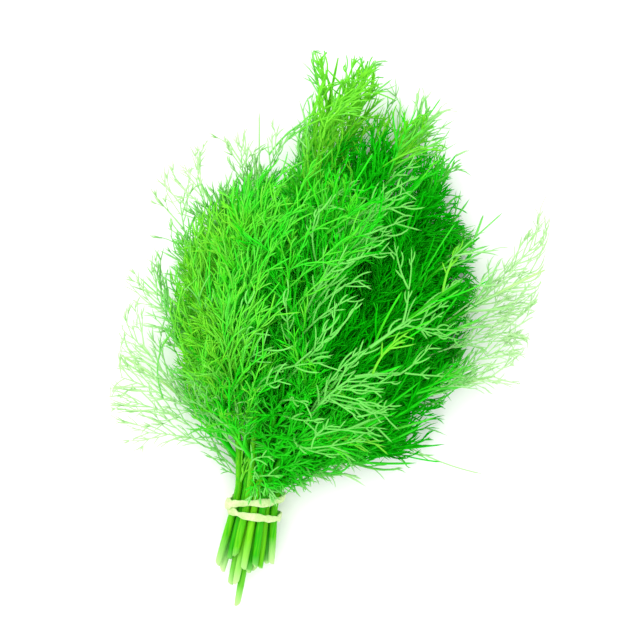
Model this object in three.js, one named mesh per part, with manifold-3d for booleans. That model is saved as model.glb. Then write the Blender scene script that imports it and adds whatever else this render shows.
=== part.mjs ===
// A bunch of fresh dill lying on its side, tied near the cut ends with one pale elastic band.
//
// Frame, in millimetres: +Y runs along the bunch from the cut ends to the leaf tips, +Z is up, and the
// bunch rests on the plane Z = 0. The origin is under the band, on the flat spot where it lies on the table.
//
// Every dill shoot is one solid: a stem with a cut end, side fronds that leave it in turn, and the
// thread-like leaflets of the fronds, each a spur drawn out of one face of its rib. Shoots never touch: a
// frond or leaflet that would cross another shoot is turned aside, shortened or left out.

import * as THREE from "three";
import { mergeVertices } from "three/addons/utils/BufferGeometryUtils.js";
import Module from "manifold-3d";

const wasm = await Module();
wasm.setup();

// ---------------------------------------------------------------- driving dimensions (mm)

const STEM_RADIUS = 1.55; // a stem where the band grips it
const CUT_RADIUS = 1.65; // the same stem at its cut end
const TOP_RADIUS = 0.55; // the shoot's own axis shortly before its tip
const THIN_FROM = 0.8; // share of the way to the tip where it is as thin as that
const STEM_GAP_X = 3.5; // between stems of one layer, inside the band
const LAYER_RISE = 3.6; // from one layer of stems to the next
const LOWEST_STEM_Z = 4.15; // axis of the lowest layer
const NECK = 7; // stems start to spread this far past the band's middle
const TAIL_FLARE = 1.35; // how much wider the cut ends stand than the stems in the band
const TAIL_DROP = 0.85; // how far the cut ends sink, as a share of their height in the band

const BAND_WIDTH = 2.4;
const BAND_THICKNESS = 1;
const BAND_CHAMFER = 0.25;
const BAND_HALF_WIDTH = 11.5; // from the bundle's axis to the middle of the band, sideways
const BAND_HALF_HEIGHT = 8; // the same, upwards
const BAND_CENTRE_Z = 9.55;
const BAND_SQUARENESS = 3; // 2 is an ellipse, more is squarer
const BAND_TURN_SPLIT = 4.5; // the two turns stand this far before and behind the middle
const BAND_STEP_OVER = 1.35; // how far the outer turn passes over the inner one
const BAND_SAG = 1.4; // the slack turns slide this far towards the cut ends on top
const BAND_SLANT = 0.13; // how far each turn runs forward for each millimetre to the right
const BAND_STEPS = 44; // steps round both turns

const BEND_OUT = 0.2; // where a shoot's curve bends, as a share of its way outwards
const BEND_FORWARD = 0.5; // the same, forwards
const BEND_UP = 0.66; // the same, upwards
const BEND_PAST_BAND = 8; // and this much further on
const BEND_ARCH = 3; // and this much higher

const SIDE_FRONDS = [0.12, 0.24, 0.37, 0.51, 0.66]; // where they leave, as a share of the way to the tip
const LEAVES_START = 11; // a side frond leaves the stem at least this far past the band
const FROND_RADIUS = 0.95; // a side frond's rib where it leaves the stem
const FROND_ROOT = 0.85; // the same at most, as a share of the stem's radius there
const FROND_TIP_RADIUS = 0.42;
const FROND_LENGTH = 74; // a side frond low on the shoot
const FROND_SHORTENS = 0.55; // how much of that is lost from the band to the tip
const FROND_VARIES = 0.3; // side fronds are longer by up to this share
const SHORTEST_FROND = 26;
const FROND_SHRINK = 0.9; // a frond that would leave the leafy mass shrinks to this share, time and again
const FROND_LEAN = 0.62; // radians between a side frond and its stem
const FROND_LEAN_SPREAD = 0.3;
const FROND_SWING = 1.9; // radians over which side fronds spread round the stem
const FROND_TURN = 0.55; // radians that a frond is turned round the stem by each try
const FROND_BEND = 0.5; // share of its length where a frond starts to bend forward
const FROND_OUT = 0.8; // how far its tip ends outwards, as a share of its length
const FROND_ON = 0.22; // the same, along the stem
const FROND_DROOP = 0.1; // the same, downwards
const FROND_FLOOR = 3; // lowest place of a rib

const LEAFLET_ROOT = 1.1; // length of a leaflet's root along its rib
const LONGEST_LEAFLET = 25;
const SHORTEST_LEAFLET = 5;
const LEAFLET_LEAN = 0.72; // radians between a leaflet and its rib
const LEAFLET_LEAN_SPREAD = 0.24;
const LEAFLET_TILT = [-0.75, 1.05]; // radians by which leaflets dip below and rise above the frond's plane
const LEAFLET_SHRINK = 0.06; // a leaflet that finds no room loses this share of its length with each try
const LEAFLETS_START = 9; // no leaflet comes nearer to the band's middle
const PAIR_SPACING = 8.5; // from one pair of leaflets to the next
const FEWEST_PAIRS = 4;
const FROND_BLADE = 0.2; // where the leaflets of a side frond begin, as a share of its length
const FROND_LEAFLET = 0.4; // the longest of them, as a share of the frond
const CROWN_START = 0.5; // where the crown begins, the shoot's own tip, as a share of the way to it
const CROWN_SUNK = 0.03; // it starts this share further back, inside the stem
const CROWN_WAIST = 0.88; // radius of its rib, as a share of the stem's
const CROWN_LEAFLET = 0.36; // the longest of its leaflets, as a share of the crown
const WIDEST_BLADE = 0.3; // where the longest leaflets of a blade stand, as a share of the blade
const TIP_LOSS = 0.62; // how much shorter its last leaflets are
const LAST_LEAFLET = 0.95; // where the last leaflets stand, as a share of a rib

const CLEARANCE = 0.3; // least gap between two shoots
const OWN_CLEARANCE = 0.12; // least gap between two leaflets of one shoot
const FROND_SUNK = 0.5; // share of a frond's first stretch that is sunk in its stem
const LEAFLET_SUNK = 0.25; // share of a leaflet that may touch others near its rib
const TRIES = 8; // ways in which a frond or leaflet is turned before it is left out
const LEAFLET_LIMB = 100; // added to a rib's number, this numbers the leaflets on it

const ROOF_RIM = 15; // height of the foliage at its outline
const ROOF_RISE = 58; // how much higher it stands over the middle of the bunch
const ROOF_SLACK = 6; // leaflet tips may stand this much higher

const STEM_SIDES = 6;
const RIB_SIDES = 3; // so that one face looks to either side and one down
const STEM_STEPS = 5; // steps along a stem from its neck to the crown

// Layers of stems in the band, the lowest first, each from left to right. `tip` is where the shoot ends,
// from the band's middle, and `tail` is how much bare stem stands out below the band.
const LAYERS = [
  [
    { tip: [-72, 55, 6], tail: 27 },
    { tip: [-33, 118, 7], tail: 33 },
    { tip: [42, 140, 7], tail: 30 },
    { tip: [74, 40, 6], tail: 24 },
  ],
  [
    { tip: [-47, 84, 16], tail: 33 },
    { tip: [-27, 151, 17], tail: 38 },
    { tip: [14, 204, 14], tail: 47 },
    { tip: [58, 162, 16], tail: 30 },
    { tip: [95, 76, 13], tail: 26 },
  ],
  [
    { tip: [-46, 105, 30], tail: 30 },
    { tip: [-39, 134, 31], tail: 26 },
    { tip: [1, 200, 30], tail: 37 },
    { tip: [44, 186, 32], tail: 31 },
    { tip: [75, 134, 33], tail: 28 },
    { tip: [107, 126, 22], tail: 25 },
  ],
  [
    { tip: [-22, 118, 60], tail: 24 },
    { tip: [16, 148, 65], tail: 29 },
    { tip: [69, 113, 52], tail: 27 },
  ],
];

// The edge of the leafy mass seen from above, from the band's middle, clockwise from the left of the band.
const OUTLINE = [
  [-11, 8], [-25, 28], [-37, 47], [-43, 78], [-45, 106], [-39, 126], [-27, 140], [-8, 150],
  [-3, 198], [14, 205], [24, 187], [43, 186], [57, 163], [71, 138], [76, 103], [74, 62],
  [69, 32], [42, 24], [16, 8],
];
const MASS_CENTRE = [8, 92]; // the middle of the leafy mass
const MASS_HALF_SIZE = [82, 122]; // where the roof comes down to its rim

// ---------------------------------------------------------------- small helpers

// A repeatable number from 0 to 1 for three whole numbers.
function chance(i, j, k) {
  const wave = Math.sin(i * 12.9898 + j * 78.233 + k * 37.719 + 4.1) * 43758.5453;
  return wave - Math.floor(wave);
}

function vec(x, y, z) {
  return new THREE.Vector3(x, y, z);
}

// start + the sum of direction × amount for each [direction, amount] pair.
function along(start, ...steps) {
  const point = start.clone();
  for (const [direction, amount] of steps) point.addScaledVector(direction, amount);
  return point;
}

const ORIGIN = vec(0, 0, 0);
const UP = vec(0, 0, 1);

// Two directions across `tangent`: one level, one as near upright as it can be.
function across(tangent) {
  const level = tangent.clone().cross(UP).normalize();
  const raised = level.clone().cross(tangent).normalize();
  return [level, raised];
}

// Whether a point stands over the leafy mass.
function inOutline(x, y) {
  let inside = false;
  OUTLINE.forEach(([ax, ay], i) => {
    const [bx, by] = OUTLINE[(i + 1) % OUTLINE.length];
    if (ay > y !== by > y && x < ((bx - ax) * (y - ay)) / (by - ay) + ax) inside = !inside;
  });
  return inside;
}

// Height of the foliage's rounded top over a point of the plan.
function roofHeight(x, y) {
  const dx = (x - MASS_CENTRE[0]) / MASS_HALF_SIZE[0];
  const dy = (y - MASS_CENTRE[1]) / MASS_HALF_SIZE[1];
  return ROOF_RIM + ROOF_RISE * Math.max(0, 1 - dx * dx - dy * dy);
}

// ---------------------------------------------------------------- keeping shoots apart

// Shortest distance between segments p1-q1 and p2-q2.
function segmentGap(p1, q1, p2, q2) {
  const d1 = q1.clone().sub(p1);
  const d2 = q2.clone().sub(p2);
  const r = p1.clone().sub(p2);
  const a = d1.dot(d1);
  const e = d2.dot(d2);
  const b = d1.dot(d2);
  const c = d1.dot(r);
  const f = d2.dot(r);
  const denominator = a * e - b * b;
  let s = denominator > 1e-9 ? THREE.MathUtils.clamp((b * f - c * e) / denominator, 0, 1) : 0;
  const t = THREE.MathUtils.clamp((b * s + f) / e, 0, 1);
  s = THREE.MathUtils.clamp((b * t - c) / a, 0, 1);
  return along(p1, [d1, s]).distanceTo(along(p2, [d2, t]));
}

// Every straight stretch that stands so far. It runs from `from` to `to`, and from `free` on it is clear of
// the limb that carries it.
const standing = [];

function stretch(shoot, limb, from, to, radius, sunk) {
  const middle = from.clone().lerp(to, 0.5);
  const reach = from.distanceTo(to) / 2 + radius + CLEARANCE;
  return { shoot, limb, from, free: from.clone().lerp(to, sunk), to, radius, middle, reach };
}

// The stretches between the rings of a limb, of which the first is partly sunk in what it grows from.
function stretchesOf(shoot, limb, rings) {
  return rings.slice(1).map(({ point, radius }, i) => {
    const before = rings[i];
    return stretch(shoot, limb, before.point, point, Math.max(before.radius, radius), i ? 0 : FROND_SUNK);
  });
}

// Whether stretches that would grow from limb `parent` stand clear of all that stands.
function standsClear(made, parent) {
  return standing.every((other) => {
    const own = other.shoot === made[0].shoot;
    if (own && other.limb === parent) return true;
    return made.every((one) => {
      if (one.middle.distanceTo(other.middle) > one.reach + other.reach) return true;
      const gap = own
        ? segmentGap(one.free, one.to, other.free, other.to) - OWN_CLEARANCE
        : segmentGap(one.from, one.to, other.from, other.to) - CLEARANCE;
      return gap >= one.radius + other.radius;
    });
  });
}

// ---------------------------------------------------------------- ribs of a shoot

// A curve from `start` by way of `bend` to `end`, at share t.
function bow(start, bend, end, t) {
  return new THREE.QuadraticBezierCurve3(start, bend, end).getPoint(t);
}

function tangentOf(curve, t) {
  return curve.at(Math.min(1, t + 0.02)).sub(curve.at(t - 0.02)).normalize();
}

// The shoot's own axis: its cut end, its place in the band, and the curve from its neck to its tip.
function shootAxis(layer, column) {
  const { tip, tail } = LAYERS[layer][column];
  const middle = (LAYERS[layer].length - 1) / 2;
  const slot = vec((column - middle) * STEM_GAP_X, 0, LOWEST_STEM_Z + layer * LAYER_RISE);
  const cut = vec(slot.x * TAIL_FLARE, -tail, slot.z * TAIL_DROP);
  const neck = vec(slot.x, NECK, slot.z);
  const end = vec(...tip);
  const bend = vec(
    slot.x + BEND_OUT * (end.x - slot.x),
    BEND_FORWARD * end.y + BEND_PAST_BAND,
    slot.z + BEND_UP * (end.z - slot.z) + BEND_ARCH,
  );
  const length = neck.distanceTo(bend) + bend.distanceTo(end);
  return { cut, slot, length, at: (t) => bow(neck, bend, end, t), radius: axisRadius };
}

function axisRadius(t) {
  return THREE.MathUtils.lerp(STEM_RADIUS, TOP_RADIUS, Math.min(1, t / THIN_FROM));
}

// 0, 1, -1, 2, -2 and so on.
function alternate(turn) {
  return Math.ceil(turn / 2) * (turn % 2 ? 1 : -1);
}

// One way of growing side frond number `rank` of shoot `number`. It shrinks until its tip is in the leafy
// mass. `turn` counts the ways tried before.
function sideFrond(number, axis, rank, turn) {
  const share = SIDE_FRONDS[rank];
  const root = axis.at(share);
  if (root.y < LEAVES_START) return null;
  const tangent = tangentOf(axis, share);
  const [level, raised] = across(tangent);
  const swing = (chance(number, rank, 1) - 0.5) * FROND_SWING + alternate(turn) * FROND_TURN;
  const angle = ((rank + number) % 2) * Math.PI + swing;
  const outward = along(ORIGIN, [level, Math.cos(angle)], [raised, Math.sin(angle)]);
  const lean = FROND_LEAN + FROND_LEAN_SPREAD * chance(number, rank, 2);
  const away = along(ORIGIN, [tangent, Math.cos(lean)], [outward, Math.sin(lean)]);
  const rootRadius = Math.min(FROND_RADIUS, FROND_ROOT * axisRadius(share));
  const radius = (t) => THREE.MathUtils.lerp(rootRadius, FROND_TIP_RADIUS, t);
  let length = FROND_LENGTH * (1 - FROND_SHORTENS * share) * (1 + FROND_VARIES * chance(number, rank, 3));
  while (length > SHORTEST_FROND) {
    const bend = along(root, [away, FROND_BEND * length]);
    const end = along(root, [away, FROND_OUT * length], [tangent, FROND_ON * length]);
    bend.z = Math.max(bend.z, FROND_FLOOR);
    end.z = Math.max(end.z - FROND_DROOP * length, FROND_FLOOR);
    if (inOutline(end.x, end.y) && end.z < roofHeight(end.x, end.y)) {
      return { length, radius, at: (t) => bow(root, bend, end, t) };
    }
    length *= FROND_SHRINK;
  }
  return null;
}

// Places along a curve, each with its direction on, a direction to the right and one upwards.
function ringsAlong(curve, shares) {
  let side = null;
  return shares.map((t) => {
    const tangent = tangentOf(curve, t);
    side = side ? along(side, [tangent, -side.dot(tangent)]).normalize() : across(tangent)[0];
    const up = side.clone().cross(tangent);
    return { point: curve.at(t), radius: curve.radius(t), tangent, side, up, spurs: [] };
  });
}

// The rings of a rib: bare ones, then one ring on either side of the root of each pair of leaflets. The
// leaflets begin at share `first`.
function ribOf(curve, bareShares, first) {
  const blade = LAST_LEAFLET - first;
  const pairs = Math.max(FEWEST_PAIRS, Math.round((blade * curve.length) / PAIR_SPACING));
  const half = LEAFLET_ROOT / 2 / curve.length;
  const roots = Array.from({ length: pairs }, (_, i) => first + (blade * (i + 0.5)) / pairs);
  const rings = ringsAlong(curve, [...bareShares, ...roots.flatMap((t) => [t - half, t + half]), 1]);
  rings.at(-1).radius = 0;
  return { rings, pairs, bare: bareShares.length };
}

// ---------------------------------------------------------------- leaflets

// Length of a leaflet at share t of a frond's blade, as a share of the longest.
function leafletShare(t) {
  return 1 - TIP_LOSS * Math.abs((t - WIDEST_BLADE) / (1 - WIDEST_BLADE)) ** 1.2;
}

// The tip of a leaflet that leaves a rib at `ring`, to the side that `hand` says (1 or -1), or null where
// none finds room.
function leafletTip(shoot, limb, ring, station, hand, length) {
  for (let turn = 0; turn < TRIES; turn += 1) {
    const seed = [shoot * 16 + limb, station * 2 + hand, turn];
    const tilt = THREE.MathUtils.lerp(...LEAFLET_TILT, chance(...seed));
    const lean = LEAFLET_LEAN + LEAFLET_LEAN_SPREAD * chance(seed[1], seed[0], turn);
    const outward = along(ORIGIN, [ring.side, hand * Math.cos(tilt)], [ring.up, Math.sin(tilt)]);
    const reach = length * (1 - LEAFLET_SHRINK * turn);
    const tip = along(ring.point, [ring.tangent, Math.cos(lean) * reach], [outward, Math.sin(lean) * reach]);
    tip.z = Math.max(tip.z, 0);
    const made = stretch(shoot, limb + LEAFLET_LIMB, ring.point, tip, ring.radius, LEAFLET_SUNK);
    const inRoom = tip.z < roofHeight(tip.x, tip.y) + ROOF_SLACK && tip.y > LEAFLETS_START;
    if (inRoom && standsClear([made], limb)) {
      standing.push(made);
      return tip;
    }
  }
  return null;
}

// Draws pairs of leaflets out of a rib's rings beyond the bare ones.
function growLeaflets(shoot, { limb, rings, pairs, bare, longest }) {
  for (let pair = 0; pair < pairs; pair += 1) {
    const ring = rings[bare + 2 * pair];
    const length = Math.max(SHORTEST_LEAFLET, longest * leafletShare((pair + 0.5) / pairs));
    for (const hand of [1, -1]) {
      const tip = leafletTip(shoot, limb, ring, pair, hand, length);
      if (tip) ring.spurs.push({ hand, tip });
    }
  }
}

// ---------------------------------------------------------------- shoots

// All stems stand first, then all side fronds, and then leaflets, so that each finds its way round the rest.
function growShoots() {
  const shoots = LAYERS.flatMap((stems, layer) => stems.map((_, column) => ({ layer, column })));
  shoots.forEach((shoot, number) => {
    shoot.number = number;
    shoot.axis = shootAxis(shoot.layer, shoot.column);
    shoot.stem = stemRings(shoot.axis);
    shoot.ribs = [crownRib(shoot.axis)];
    standing.push(...stretchesOf(number, 0, shoot.stem), ...stretchesOf(number, 0, shoot.ribs[0].rings));
  });
  shoots.forEach((shoot) => SIDE_FRONDS.forEach((_, rank) => growSideFrond(shoot, rank)));
  shoots.forEach(({ number, ribs }) => ribs.forEach((rib) => growLeaflets(number, rib)));
  return shoots;
}

// A stem's rings, from its cut end by way of the band to where the crown begins.
function stemRings(axis) {
  const shares = Array.from({ length: STEM_STEPS + 1 }, (_, i) => (CROWN_START * i) / STEM_STEPS);
  const rings = ringsAlong(axis, shares);
  return [{ ...rings[0], point: axis.cut, radius: CUT_RADIUS }, { ...rings[0], point: axis.slot }, ...rings];
}

function crownRib(axis) {
  const curve = { ...axis, radius: (t) => CROWN_WAIST * axisRadius(t) };
  const rib = ribOf(curve, [CROWN_START - CROWN_SUNK], CROWN_START);
  const length = axis.at(CROWN_START).distanceTo(axis.at(1));
  return { ...rib, limb: 0, longest: Math.min(LONGEST_LEAFLET, CROWN_LEAFLET * length) };
}

function growSideFrond({ number, axis, ribs }, rank) {
  for (let turn = 0; turn < TRIES; turn += 1) {
    const curve = sideFrond(number, axis, rank, turn);
    if (curve) {
      const rib = ribOf(curve, [0, FROND_BLADE / 2], FROND_BLADE);
      const made = stretchesOf(number, rank + 1, rib.rings);
      if (standsClear(made, 0)) {
        standing.push(...made);
        const longest = Math.min(LONGEST_LEAFLET, FROND_LEAFLET * curve.length);
        ribs.push({ ...rib, limb: rank + 1, longest });
        return;
      }
    }
  }
}

// ---------------------------------------------------------------- solids

// A closed limb through rings of corners, with flat ends or a pointed tip, and a spur for each leaflet.
function limbGeometry(rings, sides) {
  const positions = [];
  const index = [];
  const add = ({ x, y, z }) => positions.push(x, y, Math.max(z, 0)) / 3 - 1;
  rings.forEach(({ point, radius, side, up }) => {
    for (let k = 0; k < sides; k += 1) {
      const angle = Math.PI / 2 - (2 * Math.PI * k) / sides;
      add(along(point, [side, radius * Math.cos(angle)], [up, radius * Math.sin(angle)]));
    }
  });
  const last = (rings.length - 1) * sides;
  const pointed = rings.at(-1).radius === 0;
  rings.slice(0, -1).forEach(({ spurs }, i) => {
    for (let k = 0; k < sides; k += 1) {
      const [a, b] = [i * sides + k, i * sides + ((k + 1) % sides)];
      const [c, d] = [b + sides, a + sides];
      const spur = spurs.find(({ hand }) => k === (hand > 0 ? 0 : sides - 1));
      if (spur) {
        const tip = add(spur.tip);
        index.push(a, b, tip, b, c, tip, c, d, tip, d, a, tip);
      } else if (pointed && d >= last) {
        index.push(a, b, last);
      } else {
        index.push(a, b, c, a, c, d);
      }
    }
  });
  for (let k = 1; k + 1 < sides; k += 1) {
    index.push(0, k + 1, k);
    if (!pointed) index.push(last, last + k, last + k + 1);
  }
  return closedGeometry(positions, index);
}

function closedGeometry(positions, index) {
  const geometry = new THREE.BufferGeometry();
  geometry.setAttribute("position", new THREE.Float32BufferAttribute(positions, 3));
  geometry.setIndex(index);
  return geometry;
}

function solidOf(geometry) {
  const merged = mergeVertices(geometry, 1e-5);
  return new wasm.Manifold(
    new wasm.Mesh({
      numProp: 3,
      vertProperties: merged.attributes.position.array,
      triVerts: new Uint32Array(merged.index.array),
    }),
  );
}

function geometryOf(solid) {
  const { vertProperties, triVerts } = solid.getMesh();
  return closedGeometry([...vertProperties], [...triVerts]);
}

// ---------------------------------------------------------------- the band

// A point of the band's middle line at angle a, from 0 to two full turns, with the way out of the bundle.
function bandPoint(a) {
  const round = (value) => Math.sign(value) * Math.abs(value) ** (2 / BAND_SQUARENESS);
  const phase = a / 2 - Math.PI / 2;
  const before = BAND_TURN_SPLIT * Math.sin(phase);
  const x = BAND_HALF_WIDTH * round(Math.cos(a));
  const z = BAND_HALF_HEIGHT * round(Math.sin(a));
  const out = vec(x / BAND_HALF_WIDTH ** 2, 0, z / BAND_HALF_HEIGHT ** 2).normalize();
  const y = before - BAND_SAG * Math.max(0, Math.sin(a)) + BAND_SLANT * x;
  const lifted = (BAND_STEP_OVER * (1 - Math.cos(phase))) / 2;
  return { point: along(vec(x, y, z + BAND_CENTRE_Z), [out, lifted]), out };
}

// The band is one loop of flat elastic wound twice round the stems. It lies flat on the table.
function bandGeometry() {
  const [w, t, c] = [BAND_WIDTH / 2, BAND_THICKNESS / 2, BAND_CHAMFER];
  const section = [
    [w, t - c], [w - c, t], [c - w, t], [-w, t - c],
    [-w, c - t], [c - w, -t], [w - c, -t], [w, c - t],
  ];
  const corners = section.length;
  const positions = [];
  const index = [];
  for (let i = 0; i < BAND_STEPS; i += 1) {
    const a = (4 * Math.PI * i) / BAND_STEPS;
    const { point, out } = bandPoint(a);
    const onward = bandPoint(a + 0.02).point.sub(bandPoint(a - 0.02).point).normalize();
    const sideways = out.clone().cross(onward).normalize();
    section.forEach(([u, v], k) => {
      const corner = along(point, [sideways, u], [out, v]);
      positions.push(corner.x, corner.y, Math.max(corner.z, 0));
      const [here, next, other] = [i * corners, ((i + 1) % BAND_STEPS) * corners, (k + 1) % corners];
      index.push(here + k, here + other, next + other, here + k, next + other, next + k);
    });
  }
  return closedGeometry(positions, index);
}

// ---------------------------------------------------------------- assembly

const leafGreen = new THREE.MeshStandardMaterial({ color: 0x35b81c, roughness: 0.55, metalness: 0 });
const bandCream = new THREE.MeshStandardMaterial({ color: 0xf1ecc6, roughness: 0.6, metalness: 0 });

const bunch = new THREE.Group();
bunch.position.y = BAND_TURN_SPLIT * Math.SQRT1_2;

for (const { number, stem, ribs } of growShoots()) {
  const limbs = [limbGeometry(stem, STEM_SIDES), ...ribs.map(({ rings }) => limbGeometry(rings, RIB_SIDES))];
  const shoot = new THREE.Mesh(geometryOf(wasm.Manifold.union(limbs.map(solidOf))), leafGreen);
  shoot.name = `dill_shoot_${String(number + 1).padStart(2, "0")}`;
  bunch.add(shoot);
}

const band = new THREE.Mesh(bandGeometry(), bandCream);
band.name = "tie_band";
bunch.add(band);

export default bunch;
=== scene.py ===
# %% [markdown]
# # A bunch of dill
# Dill is a plant of threads. A stem carries fronds, a frond carries side branches, and each branch ends in
# thread-like leaflets that fork once or twice. Nothing on it is broad or flat, so its look comes from the
# number of threads, from the way they all lean forward, and from the dark gaps between them.
#
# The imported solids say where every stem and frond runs. They come first, and everything is built round them.

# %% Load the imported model
from math import cos, pi, radians, sin

import bpy
import numpy as np
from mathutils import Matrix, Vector


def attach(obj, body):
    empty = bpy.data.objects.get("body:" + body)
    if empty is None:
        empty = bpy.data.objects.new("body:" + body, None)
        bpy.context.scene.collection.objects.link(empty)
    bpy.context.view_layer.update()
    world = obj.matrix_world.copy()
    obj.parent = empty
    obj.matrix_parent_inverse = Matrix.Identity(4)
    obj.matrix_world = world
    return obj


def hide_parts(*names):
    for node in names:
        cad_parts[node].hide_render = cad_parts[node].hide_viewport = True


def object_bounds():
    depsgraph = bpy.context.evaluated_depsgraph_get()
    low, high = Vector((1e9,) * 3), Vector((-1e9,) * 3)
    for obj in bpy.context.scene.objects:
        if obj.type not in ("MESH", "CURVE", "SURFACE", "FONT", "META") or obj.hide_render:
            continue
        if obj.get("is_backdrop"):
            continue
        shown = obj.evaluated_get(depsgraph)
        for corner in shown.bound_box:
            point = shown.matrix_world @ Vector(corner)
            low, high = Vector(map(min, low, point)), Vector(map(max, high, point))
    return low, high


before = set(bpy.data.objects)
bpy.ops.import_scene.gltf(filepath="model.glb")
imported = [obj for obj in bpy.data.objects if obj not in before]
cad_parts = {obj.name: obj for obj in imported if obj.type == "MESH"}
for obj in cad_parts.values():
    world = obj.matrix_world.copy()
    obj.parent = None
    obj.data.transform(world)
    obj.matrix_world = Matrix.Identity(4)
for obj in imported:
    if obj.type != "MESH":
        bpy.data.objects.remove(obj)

CAD_LOW, CAD_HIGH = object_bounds()
MM = 0.001
print("CAD box", [round(v, 4) for v in CAD_LOW], [round(v, 4) for v in CAD_HIGH])

# %% [markdown]
# ## Camera, table and light
# The bunch lies on a white table and is seen from straight above, turned a little to the left. A camera
# needs only a place and one angle for that. The table is a plain sheet, far larger than the bunch. A white
# sky gives light from all round, and one large lamp from the upper left gives the threads their bright side.
# Several small lamps could do that too, but each would draw its own edge round the soft shadow.

# %% Camera
CAMERA_TURN = radians(10.35)
CAMERA_OVER = Vector((13.7, 89.8, 25.0)) * MM
CAMERA_HEIGHT = 600 * MM
FIELD = 280 * MM  # so much of the table is seen from side to side
SENSOR = 36

camera = bpy.data.objects.new("camera", bpy.data.cameras.new("camera"))
camera.location = CAMERA_OVER + Vector((0, 0, CAMERA_HEIGHT))
camera.rotation_euler = (0, 0, CAMERA_TURN)
camera.data.sensor_width = SENSOR
camera.data.lens = SENSOR * CAMERA_HEIGHT / FIELD
camera.data.clip_start = 0.01
bpy.context.scene.collection.objects.link(camera)
bpy.context.scene.camera = camera
print("lens", round(camera.data.lens, 1), "mm")

# %% Table
TABLE_HALF = 3.0
TABLE_DROP = 0.2 * MM  # it lies this far below the lowest leaf, so nothing flickers between the two

table_mesh = bpy.data.meshes.new("table")
table_corners = [(TABLE_HALF * x, TABLE_HALF * y, 0) for x, y in ((-1, -1), (1, -1), (1, 1), (-1, 1))]
table_mesh.from_pydata(table_corners, [], [(0, 1, 2, 3)])
table = bpy.data.objects.new("table", table_mesh)
table.location.z = -TABLE_DROP
table_white = bpy.data.materials.new("table_white")
table_white.use_nodes = True
table_shader = table_white.node_tree.nodes["Principled BSDF"]
table_shader.inputs["Base Color"].default_value = (1, 1, 1, 1)
table_shader.inputs["Roughness"].default_value = 0.8
table_mesh.materials.append(table_white)
bpy.context.scene.collection.objects.link(table)
table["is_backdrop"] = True
print("table", 2 * TABLE_HALF, "m wide")

# %% Sky and lamp
SKY_STRENGTH = 1.35
LAMP_POWER = 4.0
LAMP_SIZE = 1.0
LAMP_PLACE = Vector((-0.55, 0.45, 0.75))
LAMP_AIM = Vector((0.0, 0.08, 0.03))

sky = bpy.data.worlds.new("sky")
sky.use_nodes = True
sky.node_tree.nodes["Background"].inputs["Color"].default_value = (1, 1, 1, 1)
sky.node_tree.nodes["Background"].inputs["Strength"].default_value = SKY_STRENGTH
bpy.context.scene.world = sky
bpy.context.scene.view_settings.view_transform = "Standard"

light = bpy.data.lights.new("key", "AREA")
light.size, light.energy = LAMP_SIZE, LAMP_POWER
lamp = bpy.data.objects.new("key", light)
lamp.location = LAMP_PLACE
lamp.rotation_euler = (LAMP_AIM - LAMP_PLACE).to_track_quat("-Z", "Y").to_euler()
bpy.context.scene.collection.objects.link(lamp)
print("lamp", round((LAMP_PLACE - LAMP_AIM).length, 2), "m from the bunch")

# %% [markdown]
# ## The plan of the bunch
# Eighteen stems pass through the band in four layers. Each one is drawn by a curve from its cut end, through
# the band and on to its tip, and side fronds leave it in turn. The table below holds each shoot's tip and the
# length of its bare end. It is the same plan that the solids follow, so what is built here lies on them.
# Lines could be read off the solids instead, but a plan says more clearly how a bunch is put together.

# %% Where each shoot ends, and how far its cut end stands behind the band, in millimetres
LAYERS = [
    [((-72, 55, 6), 27), ((-33, 118, 7), 33), ((42, 140, 7), 30), ((74, 40, 6), 24)],
    [
        ((-47, 84, 16), 33),
        ((-27, 151, 17), 38),
        ((14, 204, 14), 47),
        ((58, 162, 16), 30),
        ((95, 76, 13), 26),
    ],
    [
        ((-46, 105, 30), 30),
        ((-39, 134, 31), 26),
        ((1, 200, 30), 37),
        ((44, 186, 32), 31),
        ((75, 134, 33), 28),
        ((107, 126, 22), 25),
    ],
    [((-22, 118, 60), 24), ((16, 148, 65), 29), ((69, 113, 52), 27)],
]
OUTLINE = np.array(
    [
        (-11, 8), (-25, 28), (-37, 47), (-43, 78), (-45, 106), (-39, 126), (-27, 140), (-8, 150),
        (-3, 198), (14, 205), (24, 187), (43, 186), (57, 163), (71, 138), (76, 103), (74, 62),
        (69, 32), (42, 24), (16, 8),
    ],
    float,
)  # the side fronds of the solids end inside it
CORE = np.array(
    [
        (-12, 6), (-17, 18), (-27, 30), (-37, 43), (-43, 57), (-49, 73), (-52, 88), (-53, 106), (-45, 123),
        (-31, 137), (-17, 147), (-7, 152), (-4, 164), (-5, 184), (-9, 199), (-5, 203), (3, 193), (10, 204),
        (17, 203), (23, 190), (30, 184), (40, 184), (50, 175), (60, 160), (70, 146), (77, 129), (80, 107),
        (80, 90), (77, 72), (78, 54), (71, 33), (58, 31), (41, 30), (26, 22), (14, 12),
    ],
    float,
)  # inside it the leaves stand dense, and outside it they thin out
# how yellow each shoot is, layer by layer from the left: partly young leaves, partly painted light and shade,
# highest on the shoots at the left and top, toward the lamp, and low where the bunch lies in shade
YOUTH_LIGHT_AND_SHADE = np.array([0.9, 0.7, 0.2, 0.05, 0.8, 0.8, 1, 0.2, 0.4, 0.8, 0.8, 1, 0.4, 0.2, 0.6, 0.55, 0.45, 0.45])
BAND_SPLIT = 4.5  # the band's two turns stand this far before and behind its middle
BAND_TO_ORIGIN = BAND_SPLIT * np.sqrt(0.5)  # the origin lies this far behind the band's middle
print(sum(len(stems) for stems in LAYERS), "shoots")


# %% Helpers for points and repeatable chance
def vec(x, y, z):
    return np.array((x, y, z), float)


UP = vec(0, 0, 1)


TINY = 1e-12


def unit(v):
    """v at length 1. Works on one vector or on rows of them."""
    return v / np.maximum(np.linalg.norm(v, axis=-1, keepdims=True), TINY)


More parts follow.
